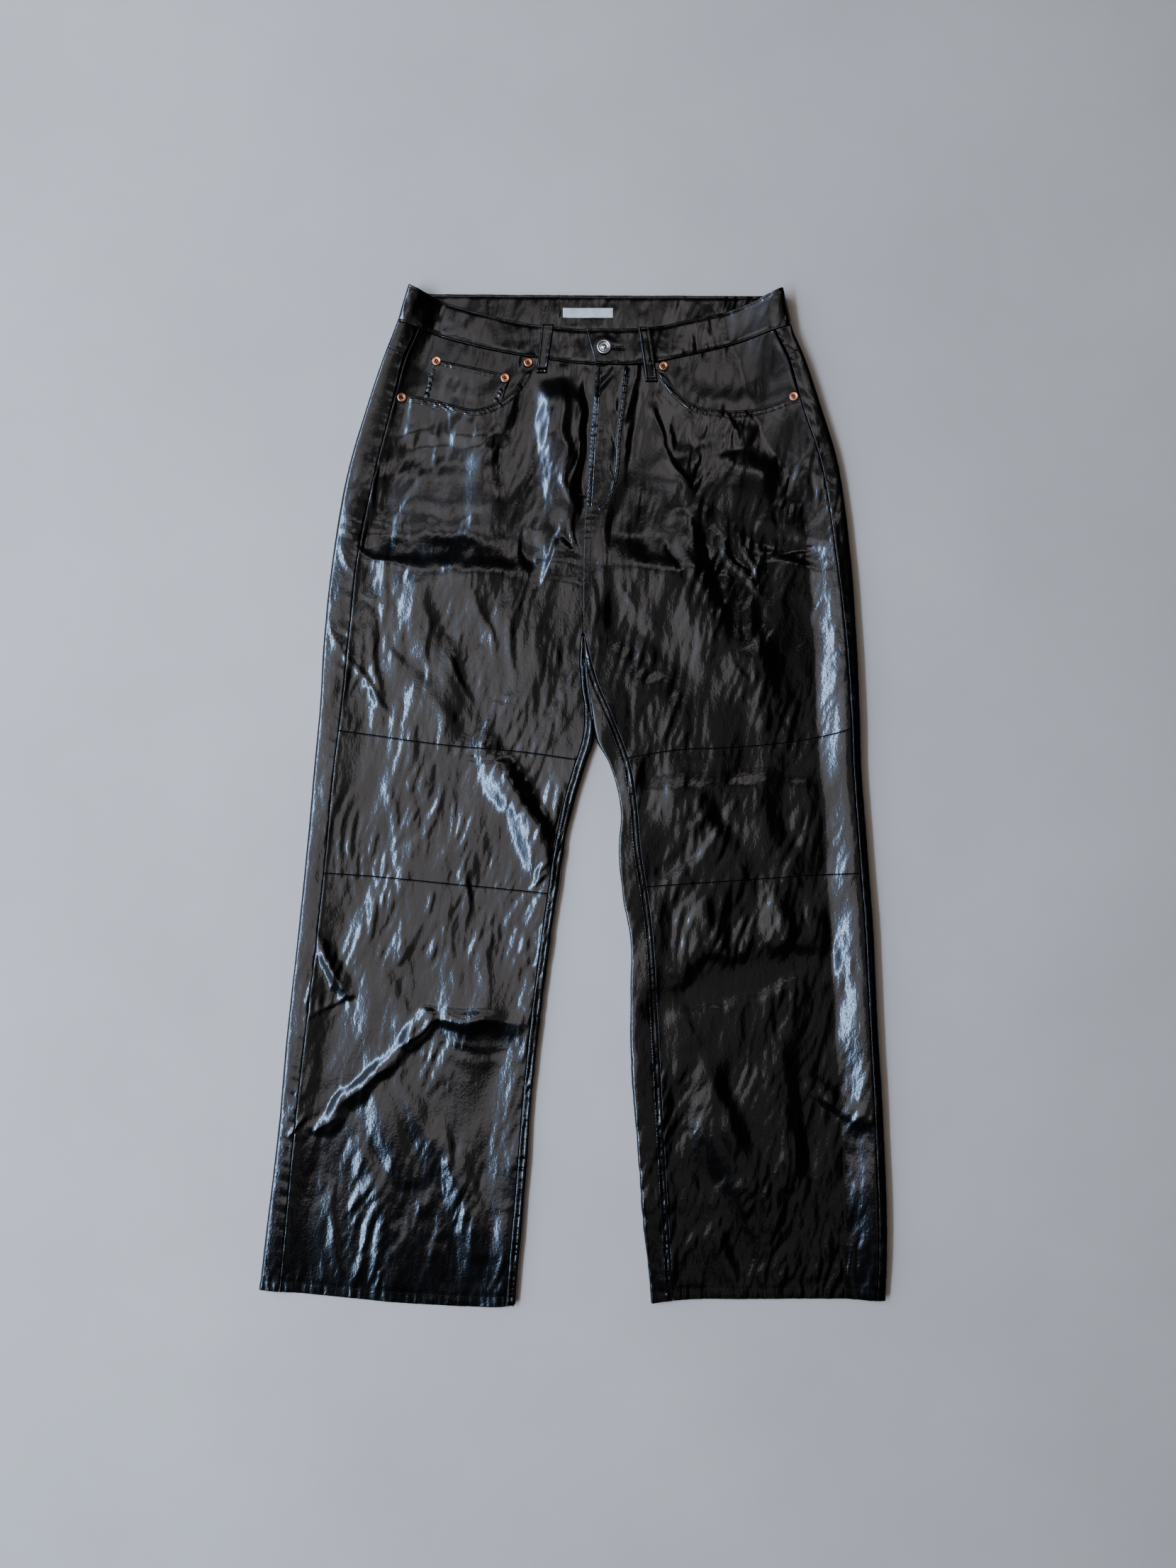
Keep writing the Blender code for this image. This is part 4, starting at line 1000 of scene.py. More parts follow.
BAND_SIDE = {"right": (495.6, 531.4), "left": (491.1, 528.3)}
BAND_END = {"right": 232.0, "left": 203.5}
BAND_TURN = 6.5
BAND_BACK_STATIONS = (9, 379, 150)                # first, last and their number
BAND_FOLDS = (-87.3, -16.3)                       # across the inside of the back
INSIDE_SEED = 210        # makes the inside of the band differ from its outside


def band_height(side, x, y):
    """Height of the band on the front, without its own relief. Its left end laps over."""
    if side == "left":
        raised = BAND_RAISE * (1 - step((x - 56) / 40))
    else:
        raised = -BAND_DROP * step((x + 10) / 30)
    return lie(side, x, y) + BAND_PROUD + raised


def band_line(side, inside, share, edges):
    """Points across the band, `inside` its side fold by that much."""
    low_x, high_x = (OUTER[side].read("outline", y) + inward(side) * inside
                     for y in BAND_SIDE[side])
    low, high = edges.read("seam", low_x) + HALF, edges.read("top", high_x)
    return low_x + (high_x - low_x) * share, low + (high - low) * share


def band_front(side, inside, share):
    """Stations of the band on the front: points, and the directions to its inside."""
    fold = OUTER[side]
    x, y = band_line(side, inside, share, BAND_FRONT[side])
    x = np.where(inside == 0, fold.read("outline", y), x)
    cos = np.clip(1 - np.abs(x - fold.read("outline", y)) / fold.read("radius", y), 0, 1)
    height = band_height(side, x, y) - BAND_PROUD * cos
    return pile(x, y, height), pile(inward(side) * cos, 0 * cos, -np.sqrt(1 - cos ** 2))


def band_back(side, inside, share):
    """Stations of the band on the back, which rests on the back loops."""
    fold = OUTER[side]
    x, y = band_line(side, inside, share, BAND_BACK)
    cos = np.clip(1 - inside / fold.read("radius", y), 0, 1)
    sin = np.sqrt(1 - cos ** 2)
    height = ground(y) + (fold.read("roll", y) - ground(y)) / 2 * (1 - sin)
    return pile(x, y, height), pile(inward(side) * cos, 0 * cos, sin)


def band_relief(x, y, share, seed=0):
    """Short puckers from both sewn edges of the band, and soft hollows between them."""
    up, down = share * BAND_WIDTH, (1 - share) * BAND_WIDTH
    height = 0.5 * puckers(x + seed, up, 7.5, 10) + 0.42 * puckers(x - seed, down, 8.5, 9)
    height += 0.42 * wrinkles(x * 1.25 + seed, y * 1.2)
    return height - 0.35 * sum(ridge(up - row, 0.8) for row in BAND_ROWS)


def make_waistband():
    share = (spread(BAND_WIDTH, 2.2) / BAND_WIDTH)[None]
    over = BAND_TURN * (1 - np.cos(np.radians(np.arange(90, -1, -10))))
    under = BAND_TURN * (1 - np.cos(np.radians(np.arange(15, 91, 15))))

    def front_places(side):
        end = BAND_END[side]
        return np.concatenate([end - np.array(RIM), np.arange(end - 8.6, 9, -2.4), over])[:, None]

    parts = [band_front("right", front_places("right"), share),
             band_back("right", under[:, None], share),
             band_back("right", np.linspace(*BAND_BACK_STATIONS)[:, None], share),
             band_back("left", under[::-1, None], share),
             band_front("left", front_places("left")[::-1], share)]
    points, steps = (np.concatenate(part) for part in zip(*parts))
    x, y = points[..., 0], points[..., 1]
    on_front = step(-steps[..., 2] / 0.5)
    place = np.arange(len(points))
    from_end = np.array(RIM + (FAR,))[nearest(place, place[::-1], len(RIM))][:, None]
    rolled = lip(nearest(share * BAND_WIDTH, (1 - share) * BAND_WIDTH, from_end), 0.9, 0.8)
    # the buttonhole, a sewn slit towards the side
    slit = ridge(y - BUTTON_PLACE[1] + 0.4, 0.7) * step((x - 30) / 3) * step((53 - x) / 2)
    bumps = (band_relief(x, y, share) * calm(x, y) - 1.1 * slit) * on_front
    outside = points + steps * (rolled - bumps)[..., None]
    # folds inside the back of the band
    hollows = band_relief(x, y, 1 - share, INSIDE_SEED)
    hollows += 0.5 * sum(ridge(x - at, 1.2) for at in BAND_FOLDS)
    off_front = 1 - on_front
    depth = BAND + 0.8 * hollows * off_front ** 2 - rolled * off_front
    leather_piece("waistband", outside, points + steps * depth[..., None])


def on_band(side, x, y):
    """Height of the band's outside on the front."""
    low, high = BAND_FRONT[side].read("seam", x), BAND_FRONT[side].read("top", x)
    share = np.clip((y - low) / (high - low), 0, 1)
    return band_height(side, x, y) + band_relief(x, y, share) * calm(x, y)


FRONT_LOOPS = {
    "right": {"top": (-26.6, 495.2), "bottom": (-33.1, 444.5), "half": (6.5, 5.4)},
    "left": {"top": (73.2, 491.9), "bottom": (81.6, 435.6), "half": (6.2, 6.4)}}
LOOP, LOOP_LIFT = 1.6, 0.5   # its leather, and how far it stands off what is under it


def loop_bed(side, x, y):
    """What a front loop lies on: the smooth height, the relief of the panel and of the band, and
    the share of the band in it."""
    seam = BAND_FRONT[side].read("seam", FRONT_LOOPS[side]["top"][0])
    share = step((y - seam + 16) / 14)
    panel, band = front_surface(side, x, y), band_height(side, x, y)
    smooth = panel + (band - panel) * share + LOOP_LIFT
    return smooth, relief(side, x, y), on_band(side, x, y) - band, share


def make_front_loop(side):
    size = FRONT_LOOPS[side]
    top, bottom = np.array(size["top"]), np.array(size["bottom"])
    length = float(np.hypot(*(bottom - top)))
    down = (spread(length, 1.8) / length)[:, None]
    across = spread(2.0, 0.17, np.array(SHORT_RIM) / 6, np.array(SHORT_RIM) / 6) - 1
    half = size["half"][0] + (size["half"][1] - size["half"][0]) * down
    x = top[0] + (bottom[0] - top[0]) * down + across * half
    y = top[1] + (bottom[1] - top[1]) * down + 0 * x
    smooth, on_panel, banded, share = loop_bed(side, x, y)
    rough = np.maximum(on_panel, -0.2) * (1 - share) + np.maximum(banded, -0.2) * share
    under = smooth + 0.5 * rough.mean(axis=1, keepdims=True) + 0.5 * rough
    edge, to_top = (1 - np.abs(across)) * half, down * length
    to_end = length - to_top
    # two ridges along the edges, and a thick sewn bar where the end is turned under
    proud = 0.45 * ridge(edge - 1.5, 0.9) - 0.25 * ridge(edge - 2.9, 0.6)
    proud = proud + 0.5 * ridge(to_end - 2.0, 1.3) - 0.35 * ridge(to_end - 5.2, 0.8)
    proud = proud + 0.22 * puckers(y + 40, edge, 6, 4)
    outside = pile(x, y, under + LOOP + proud - lip(nearest(edge, to_top, to_end), 1.3, 1.1))
    leather_piece(f"loop_front_{side}", outside, pile(x, y, under))


LABEL_PLACE, LABEL_SIZE = (15.2, 508.7), (52.5, 10.3)


def make_label():
    """A blank woven label on the inside of the band, waved a little, its ends folded under."""
    (width, height), rim = LABEL_SIZE, (0, 0.15, 0.4)
    across, up = np.meshgrid(spread(width, 1.1, rim, rim) - width / 2,
                             spread(height, 0.8, rim, rim) - height / 2)
    edge = nearest(width / 2 - np.abs(across), height / 2 - np.abs(up))
    x, y = LABEL_PLACE[0] + across, LABEL_PLACE[1] + up
    low = POCKET_LIFT + BAND + SEAM
    wave = 0.35 * (PUCKER.at(across / 17, 3) + 1) / 2
    wave = wave + 0.12 * np.sin(across * 1.9) * np.exp(-edge / 1.5)
    top = low + 0.55 + wave - lip(edge, 0.5, 0.3)
    top += 0.25 * step((np.abs(across) - width / 2 + 4) / 0.6)
    shell("label_woven", pile(x, y, top), pile(x, y, low), LABEL_FINISH, "label", "label")


# Sewing

def lengths_along(line):
    return np.concatenate([[0], np.cumsum(np.hypot(*np.diff(line, axis=0).T))])


def along_line(line, pitch, start=0.5):
    """Points a pitch apart along a line of points, and the direction there."""
    line = np.asarray(line, float)
    at = lengths_along(line)
    places = (np.arange(int(at[-1] / pitch)) + start) * pitch

    def read(where):
        return np.stack([np.interp(where, at, line[:, i]) for i in (0, 1)], axis=-1)

    ahead = read(places + 0.5) - read(places - 0.5)
    return *read(places).T, ahead / np.linalg.norm(ahead, axis=1, keepdims=True)


STITCH_RINGS = ((-0.42, 0.62), (0, 1.0), (0.42, 0.62))   # along it, and radius
STITCH_SIDES = 6
STITCH_REACH = 0.8       # how far ahead and behind a stitch its slope is taken


def stitch_shape():
    """Points of a stitch with a length and a radius of 1, and its triangles."""
    angle = np.arange(STITCH_SIDES) * 2 * math.pi / STITCH_SIDES
    points, faces = [(-0.5, 0.0, 0.0)], []
    for along, radius in STITCH_RINGS:
        points += [(along, radius * math.cos(a), radius * math.sin(a)) for a in angle]
    points.append((0.5, 0.0, 0.0))
    last = len(points) - 1
    for i in range(STITCH_SIDES):
        j = (i + 1) % STITCH_SIDES
        faces += [(0, 1 + j, 1 + i), (last, last - STITCH_SIDES + i, last - STITCH_SIDES + j)]
        for ring in range(len(STITCH_RINGS) - 1):
            a, b = 1 + ring * STITCH_SIDES, 1 + (ring + 1) * STITCH_SIDES
            faces += [(a + i, a + j, b + j), (a + i, b + j, b + i)]
    return np.array(points), np.array(faces)


def stitches(name, lines, surface, pitch=3.3, length=2.7, radius=0.36, sink=0.1):
    """One mesh with a small rounded stitch at each pitch along the lines, on a surface z(x, y)."""
    template, triangles = stitch_shape()
    points = []
    for line in lines:
        x, y, ahead = along_line(line, pitch)
        if not len(x):
            continue
        dx, dy = STITCH_REACH * ahead.T
        slope = (surface(x + dx, y + dy) - surface(x - dx, y - dy)) / (2 * STITCH_REACH)
        tangent = np.column_stack([ahead, np.clip(slope, -1, 1)])
        tangent /= np.linalg.norm(tangent, axis=1, keepdims=True)
        side = np.column_stack([-ahead[:, 1], ahead[:, 0], 0 * x])
        centre = np.column_stack([x, y, surface(x, y) + radius - sink])
        shape = (centre[:, None] + tangent[:, None] * template[None, :, :1] * length
                 + side[:, None] * template[None, :, 1:2] * radius
                 + np.cross(tangent, side)[:, None] * template[None, :, 2:] * radius)
        points.append(shape.reshape(-1, 3))
    points = np.concatenate(points)
    faces = triangles + np.arange(0, len(points), len(template))[:, None, None]
    mesh_object(name, metres(points), faces.reshape(-1, 3), THREAD_FINISH, "leather")


def across_line(line, x0, x1):
    x = np.linspace(x0, x1, max(2, int(abs(x1 - x0) / 3)))
    return np.column_stack([x, line(x)])


def along_edge(line, y0, y1):
    y = np.linspace(y0, y1, max(2, int(abs(y1 - y0) / 3)))
    return np.column_stack([line(y), y])


def offset(line, away):
    """The line moved to its left by that much."""
    ahead = np.gradient(line, axis=0)
    ahead /= np.linalg.norm(ahead, axis=1, keepdims=True)
    return line + away * np.column_stack([-ahead[:, 1], ahead[:, 0]])


def smooth_line(points, count=60):
    at = lengths_along(points)
    table = Table("s x y", np.column_stack([at, points]).tolist())
    s = np.linspace(0, at[-1], count)
    return np.column_stack([table.read("x", s), table.read("y", s)])


def ribbon(name, line, low, high, profile, surface, pitch=1.0, fall=1.4):
    """A raised band of sewn leather on a surface, from `low` to `high` to the left of a line of
    points. `profile` gives its height above the surface from the places across and along it."""
    x, y, ahead = along_line(line, pitch, 0)
    across = np.linspace(low, high, int((high - low) / 0.45) + 1)[None]
    along = np.arange(len(x))[:, None] * pitch
    x, y = x[:, None] - ahead[:, 1:] * across, y[:, None] + ahead[:, :1] * across
    edge = step(nearest(across - low, high - across, along, along[-1] - along) / fall)
    base = surface(x, y)
    top = base + (profile(across, along, y) * calm(x, y) + 0.45) * edge - 0.45
    shell(name, pile(x, y, top), pile(x, y, base - 0.8), LEATHER_FINISH, "leather", cloth=False)


def sewn_band(rows, gathers=0.3):
    """The profile of a band with a groove along each row of stitches and gathers between them."""
    def profile(across, along, y):
        away = np.abs(across - sum(rows) / len(rows))
        height = 0.26 + gathers * puckers(along, away, 3.4, 3.2)
        for row in rows:
            height = height - 0.36 * ridge(across - row, 0.5)
            height = height + 0.06 * ridge(np.abs(across - row) - 1.1, 0.5)
        return height
    return profile


def fly_edge(across, along, y):
    """Two cords along the edge of the fly, with leather twisted like a rope between them."""
    away = np.abs(across)
    strand = np.abs(np.sin(math.pi * (y + 1.5 * across) / 4.6 + 1.2 * DRIFT.at(y / 25, 3))) ** 0.6
    height = 0.1 + 0.55 * strand * step((away - 1.2) / 0.8) * step((5.6 - away) / 0.8)
    return height + 0.5 * sum(ridge(away - cord, 0.45) for cord in (0.7, 6.4))


J_STITCH = [(58.5, 451), (54, 411.8), (49.6, 374.8), (46.6, 335.6), (40.7, 316.4), (34, 305),
            (25.5, 299.3)]
SCOOP_END = {"right": -41.5, "left": 85.5}
SEWN_HEM, SEWN_INSEAM = -518.0, (-521.0, 150.0)      # where the rows lie along the leg


def sew_fly(surface):
    """The bands of the fly, and its lines of stitches: the J, the bar tack and the edge."""
    j_line = smooth_line(J_STITCH)
    ribbon("fly_edge_left", along_edge(level(FLY, 0.0, "x"), 306, 453), -7.2, -0.1, fly_edge,
           surface, 0.6, 0.5)
    ribbon("sewn_band_fly", j_line, -6.3, 1.8, sewn_band((-4.5, 0), 0.2), surface)
    tack = [[(x + i * 0.8, y - 0.35 * i) for x, y in ((7, 317.5), (18, 315.5))]
            for i in range(-3, 4)]
    edge = [along_edge(level(FLY, away, "x"), 172, top) for away, top in ((2.0, 306), (7.0, 300))]
    return [j_line, offset(j_line[:-6], -4.5), *tack, *edge]


def sew_front(side):
    turn, seam, inseam = inward(side), side_seam(side), inseam_line(side)
    surface = partial(front_top, side)
    hem_ends = OUTER[side].read("outline", SEWN_HEM), inner_edge(side, np.array(SEWN_HEM))
    lines = [across_line(level(HEM[side], HEM_ROW), hem_ends[0] + turn * 4,
                         hem_ends[1] - turn * 4)]
    for table in (KNEE_LOW, KNEE_HIGH):
        y = float(table[side].read("y", 0.0 if side == "right" else 150.0))
        lines.append(across_line(level(table[side], -KNEE_ROW), seam(y) + turn * 1.5,
                                 inseam(y) - turn * 1.5))
    lines += [along_edge(inseam_line(side, away), *SEWN_INSEAM) for away in INSEAM_ROWS]
    opening = across_line(level(SCOOP[side]), seam(420.0) + turn, SCOOP_END[side])
    lines += [offset(opening, -turn * away) for away in OPENING_ROWS]
    if side == "left":
        lines += sew_fly(surface)
    ribbon(f"sewn_band_{side}_opening", opening[opening[:, 1] < 455],
           *sorted((-turn * 0.3, -turn * 8.8)),
           sewn_band([-turn * row for row in OPENING_ROWS], 0.2), surface)
    hem_end = float(HEM[side].read("y", inseam(-524.0))) + 1.0
    ribbon(f"sewn_band_{side}_inseam", along_edge(inseam, hem_end, SEWN_INSEAM[1]),
           *sorted((-turn * 0.5, -turn * 8.2)), sewn_band([-turn * row for row in INSEAM_ROWS]),
           surface, 1.3)
    stitches(f"stitches_{side}_front", lines, surface, sink=0.3)
    # yoke seam on the strip at the side
    ends = OUTER[side].read("outline", 466.0) + turn * 3, seam(462.0) - turn
    yoke = [across_line(level(YOKE_TOP[side], -away), *ends) for away in YOKE_ROWS]
    stitches(f"stitches_{side}_yoke", yoke, surface)


def sew_waistband(side):
    """Both edges of the band and, on the left, its end and the buttonhole."""
    end = BAND_END[side] - BAND_ROWS[0]
    shares = np.array(BAND_ROWS) / BAND_WIDTH
    places = np.linspace(4, end, 90)[:, None]
    rows = [band_front(side, places, share[None, None])[0][:, 0, :2] for share in shares]
    if side == "left":
        at_end = band_front(side, np.array([[end]]), np.linspace(*shares, 12)[None])[0]
        rows.append(at_end[0, :, :2])
        hole = BUTTON_PLACE[1] - 0.4
        rows += [[(33, hole + 1.5), (53, hole + 1.5)], [(53, hole - 1.5), (33, hole - 1.5)]]
    stitches(f"stitches_{side}_waistband", rows, partial(on_band, side))


def sew_front_loop(side):
    """The two edges of the loop and its lower end."""
    (top_x, top_y), (low_x, low_y), (top_half, low_half) = FRONT_LOOPS[side].values()
    rows = [[(top_x + sign * (top_half - 2.4), top_y - 2),
             (low_x + sign * (low_half - 2.4), low_y + 2)] for sign in (-1, 1)]
    rows.append([(low_x + sign * (low_half - 1.2), low_y + 1.6) for sign in (-1, 1)])

    def loop_top(x, y):
        smooth, on_panel, banded, share = loop_bed(side, x, y)
        return smooth + on_panel * (1 - share) + banded * share + LOOP - 0.1
    stitches(f"stitches_{side}_loop", rows, loop_top, pitch=3.0, length=2.4)


def sew_coin_pocket():
    rows = []
    for away in COIN_ROWS:
        top_outer, top_inner = COIN[0] + (away, -away), COIN[1] + (-away, -away)
        rows += [[top_outer + (-away + 2, 0), top_inner + (away - 2, 0)],
                 [COIN[3] + (away, 22), top_outer + (0, away - 2)],
                 [COIN[2] + (-away, 24), top_inner + (0, away - 2)]]
    stitches("stitches_coin_pocket", rows, coin_top, sink=0.3)
    bands = {"top": (COIN[0] + (1.5, -0.3), COIN[1] + (-1.5, -0.3), -7.4, 0.3),
             "outer": (COIN[3] + (0.3, 20), COIN[0] + (0.3, -8), -7.2, 0.55),
             "inner": (COIN[1] + (-0.3, -8), COIN[2] + (-0.3, 13), -7.2, 0.55)}
    for name, (start, end, low, gathers) in bands.items():
        ribbon(f"sewn_band_coin_{name}", [start, end], low, -0.3,
               sewn_band((-1.6, -5.8), gathers), coin_top)


def band_inside(x, y):
    """Height of the inside of the band at the back."""
    share = np.clip((y - BAND_BACK.read("seam", x)) / 38, 0, 1)
    return ground(y) + BAND + 0.8 * band_relief(x, y, 1 - share, INSIDE_SEED)


def sew():
    for side in SIDES:
        sew_front(side)
        sew_waistband(side)
        sew_front_loop(side)
    sew_coin_pocket()
    stitches("stitches_band_inside", [across_line(level(BAND_BACK, -3.0, "top"), -150, 195)],
             band_inside)
    # the underside: its stitches lie in grooves, clear of the ground
    stitches("stitches_under", UNDER_STITCHES, lambda x, y: 0.36 + 0 * x, radius=0.3, sink=0.3)


# Metal

def turned(name, profile, steps, finish, slot, place, node=None):
    """A turned piece from a profile of (radius, height), set square at a given place; the CAD node
    it stands for is hidden.
    """
    profile = np.array(profile, float)
    angle = np.arange(steps) * 2 * math.pi / steps
    ring, height = profile[1:, 0][:, None], profile[1:, 1][:, None]
    grid = pile(ring * np.cos(angle), ring * np.sin(angle), height)
    points = np.concatenate([[(0, 0, profile[0, 1])], grid.reshape(-1, 3)])
    faces = [(0, 1 + i, 1 + (i + 1) % steps) for i in range(steps)]
    for r in range(len(profile) - 2):
        a, b = 1 + r * steps, 1 + (r + 1) * steps
        faces += [(a + i, b + i, b + (i + 1) % steps, a + (i + 1) % steps) for i in range(steps)]
    faces.append(tuple(reversed(range(len(points) - steps, len(points)))))
    centre, tilt = place
    points = points @ np.array(Euler(tilt).to_matrix()).T * MM + centre
    mesh = bpy.data.meshes.new(name)
    mesh.from_pydata(points.tolist(), [], faces)
    mesh.validate()
    thing = placed(name, mesh, finish, slot)
    if node:
        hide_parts(node)


def seat_of(surface, x, y, reach, clear):
    """Where a turned piece sits on a surface, square to it and clear of it."""
    span = reach * 0.8
    dx = float(surface(x + span, y) - surface(x - span, y)) / (2 * span)
    dy = float(surface(x, y + span) - surface(x, y - span)) / (2 * span)
    above = 0.0
    for angle in np.linspace(0, 2 * math.pi, 13):
        for radius in (0.0, reach / 2, reach):
            u, v = radius * math.cos(angle), radius * math.sin(angle)
            above = max(above, float(surface(x + u, y + v) - surface(x, y) - dx * u - dy * v))
    z = float(surface(x, y)) + above + clear
    return tuple(metres((x, y, z))), (math.atan(dy), -math.atan(dx), 0)


# Profiles from the middle out and down, as (radius, height)
RIVET = [(0, 0.85), (0.25, 0.83), (0.45, 0.74), (0.6, 0.5), (0.7, 0.4), (1.2, 0.4), (1.4, 0.5),
         (1.55, 0.85), (1.75, 1.06), (2.1, 1.14), (2.5, 1.12), (2.8, 1.16), (3.2, 1.27),
         (3.6, 1.33), (4.0, 1.3), (4.4, 1.14), (4.7, 0.88), (4.86, 0.6), (4.9, 0.35), (4.9, 0.02),
         (4.85, 0)]
# A low disc in the rivet's centre, coloured dark as painted shade of a hollow centre
RIVET_CORE = [(0, 0.46), (0.9, 0.46), (1.25, 0.48), (1.45, 0.6), (1.45, 0.35)]
BUTTON = [(0, 2.3), (0.8, 2.29), (1.6, 2.22), (2.2, 2.05), (2.5, 1.75), (2.7, 1.55), (3.0, 1.5),
          (3.5, 1.55), (3.8, 1.72), (4.1, 1.75), (4.4, 1.6), (4.7, 1.52), (5.0, 1.6), (5.3, 2.1),
          (5.6, 2.5), (6.0, 2.68), (6.5, 2.7), (6.95, 2.58), (7.3, 2.3), (7.55, 1.9), (7.6, 1.6),
          (7.55, 1.3), (7.4, 0.95), (6.6, 0.8), (4.2, 0.62), (4.0, 0.5), (4.0, 0)]
# The radius of each underside, and how far it stands clear of what it sits on
RIVET_SEAT, BUTTON_SEAT = (4.9, 0.45), (4.0, 0.4)


def make_metal():
    for name, (x, y) in RIVETS.items():
        front = partial(front_surface, "right" if x < 0 else "left")
        place = seat_of(coin_surface if "coin" in name else front, x, y, *RIVET_SEAT)
        turned(f"{name}_cap", RIVET, 40, COPPER_FINISH, "rivets", place, name)
        # the dark core carries painted shade: it stands in for the shade in the rivet's hollow
        # centre
        turned(f"{name}_core", RIVET_CORE, 28, HOLLOW_SHADE_FINISH, "rivets", place)
    place = seat_of(partial(band_height, "left"), *BUTTON_PLACE, *BUTTON_SEAT)
    turned("button_cap", BUTTON, 56, STEEL_FINISH, "button", place, "button")


# Materials

class Nodes:
    """Adds nodes to a material, each with its settings and inputs."""

    def __init__(self, name, **constants):
        self.material = bpy.data.materials.new(name)
        self.material.use_nodes = True
        self.tree = self.material.node_tree
        self.shader = self.tree.nodes["Principled BSDF"]
        self.place = self.add("TexCoord").outputs["Object"]
        for key, value in constants.items():
            self.shader.inputs[key.replace("_", " ")].default_value = value

    def put(self, socket, value):
        """Link a socket to another one, or give it a constant."""
        if isinstance(value, bpy.types.NodeSocket):
            self.tree.links.new(value, socket)
        else:
            socket.default_value = value

    def add(self, kind, inputs=None, **settings):
        node = self.tree.nodes.new("ShaderNode" + kind)
        for key, value in settings.items():
            setattr(node, key, value)
        for key, value in (inputs or {}).items():
            self.put(node.inputs[key], value)
        return node

    def noise(self, scale, detail=2.0, rough=0.5, stretch=None, lean=0.0, distortion=0.0):
        """Noise in the object's space. `scale` counts features in a metre."""
        vector = self.place
        if stretch:
            vector = self.add("Mapping", {"Vector": vector, "Scale": stretch,
                                          "Rotation": (0, 0, math.radians(lean))}).outputs[0]
        return self.add("TexNoise", {"Vector": vector, "Scale": scale, "Detail": detail,
                                     "Roughness": rough, "Distortion": distortion}).outputs["Fac"]

    def cells(self, scale):
        return self.add("TexVoronoi", {"Vector": self.place, "Scale": scale}).outputs["Distance"]

    def remap(self, value, low, high, to_low, to_high):
        return self.add("MapRange", {"Value": value, "From Min": low, "From Max": high,
                                     "To Min": to_low, "To Max": to_high}).outputs["Result"]

    def mix(self, factor, a, b):
        """Mix two colours."""
        node = self.add("Mix", {"Factor": factor, 6: (*a, 1), 7: (*b, 1)}, data_type="RGBA")
        return node.outputs[2]

    def bump(self, height, distance, strength=1.0, below=None):
        inputs = {"Height": height, "Distance": distance, "Strength": strength}
        if below is not None:
            inputs["Normal"] = below
        return self.add("Bump", inputs).outputs["Normal"]

    def set(self, **links):
        for key, socket in links.items():
            self.put(self.shader.inputs[key.replace("_", " ")], socket)
        return self.material


def leather(name, dark, light, rough, shine, crackle):
    """Coated black leather: long leaning wrinkles, a fine crackle and a pebbled grain."""
    made = Nodes(name, Coat_Weight=shine, Coat_Roughness=0.17, Coat_IOR=1.65,
                 Specular_IOR_Level=0.2)
    streak = made.noise(150, 3, 0.55, (1, 0.4, 1), -16, 0.3)
    crumple = made.noise(420, 2, 0.5, (1, 0.75, 1), -16, 0.3)
    pebble = made.cells(1300)
    tone = made.mix(made.remap(made.noise(26, 4, 0.6), 0.3, 0.7, 0, 1), dark, light)
    worn = made.remap(made.noise(70, 4, 0.6, (1, 0.35, 1), -14), 0.35, 0.7,
                      rough - 0.05, rough + 0.10)
    height = made.add("SeparateXYZ", {"Vector": made.place}).outputs["Y"]
    strength = made.remap(height, 0.20, 0.40, crackle, 0.4 * crackle)
    normal = made.bump(streak, 0.00036, strength)
    normal = made.bump(crumple, 0.00013, strength, normal)
    normal = made.bump(pebble, 0.00001, 0.8, normal)
    return made.set(Base_Color=tone, Roughness=worn, Normal=normal, Coat_Normal=normal)


def metal(name, base, dull, rough, scratch):
    """Worn metal with fine scratches and darker spots."""
    made = Nodes(name, Metallic=1.0)
    spots = made.remap(made.noise(900, 4, 0.65), 0.42, 0.68, 0, 1)
    tone = made.mix(spots, base, dull)
    worn = made.remap(made.noise(1600, 3, 0.6), 0.3, 0.7, rough - 0.06, rough + 0.14)
    normal = made.bump(made.noise(3200, 2, 0.5, (1, 0.1, 1), 30), 0.00002, scratch)
    return made.set(Base_Color=tone, Roughness=worn, Normal=normal)


def thread():
    made = Nodes("Black thread", Coat_Weight=0.15, Coat_Roughness=0.35)
    tone = made.mix(made.remap(made.noise(700, 2), 0.35, 0.65, 0, 1), (0.012, 0.012, 0.013),
                    (0.030, 0.029, 0.030))
    worn = made.remap(made.noise(300, 2), 0.3, 0.7, 0.36, 0.55)
    normal = made.bump(made.noise(5200, 2, 0.5, (1, 0.5, 1), 40), 0.00008, 0.8)
    return made.set(Base_Color=tone, Roughness=worn, Normal=normal)


def woven(name):
    """White satin: fine ribs across, with a weave in them and slight shading."""
    made = Nodes(name, Sheen_Weight=0.25, Sheen_Roughness=0.4)
    ribs = made.add("TexWave", {"Vector": made.place, "Scale": 700.0, "Distortion": 0.6,
                                "Detail": 1.0}, bands_direction="X").outputs["Fac"]
    weft = made.add("TexWave", {"Vector": made.place, "Scale": 1100.0, "Distortion": 0.4},
                    bands_direction="Y").outputs["Fac"]
    tone = made.mix(made.remap(made.noise(120, 3), 0.3, 0.7, 0, 1), (0.62, 0.61, 0.58),
                    (0.78, 0.77, 0.74))
    worn = made.remap(weft, 0, 1, 0.5, 0.68)
    normal = made.bump(weft, 0.00006, 0.7, made.bump(ribs, 0.00005, 0.8))
    return made.set(Base_Color=tone, Roughness=worn, Normal=normal)


def floor_paint():
    made = Nodes("Pale floor")
    tone = made.mix(made.remap(made.noise(3, 4, 0.6), 0.3, 0.7, 0, 1), (0.64, 0.58, 0.515),
                    (0.70, 0.64, 0.57))
    worn = made.remap(made.noise(14, 3), 0.3, 0.7, 0.75, 0.9)
    normal = made.bump(made.noise(300, 3, 0.6), 0.0003, 0.15)
    return made.set(Base_Color=tone, Roughness=worn, Normal=normal)


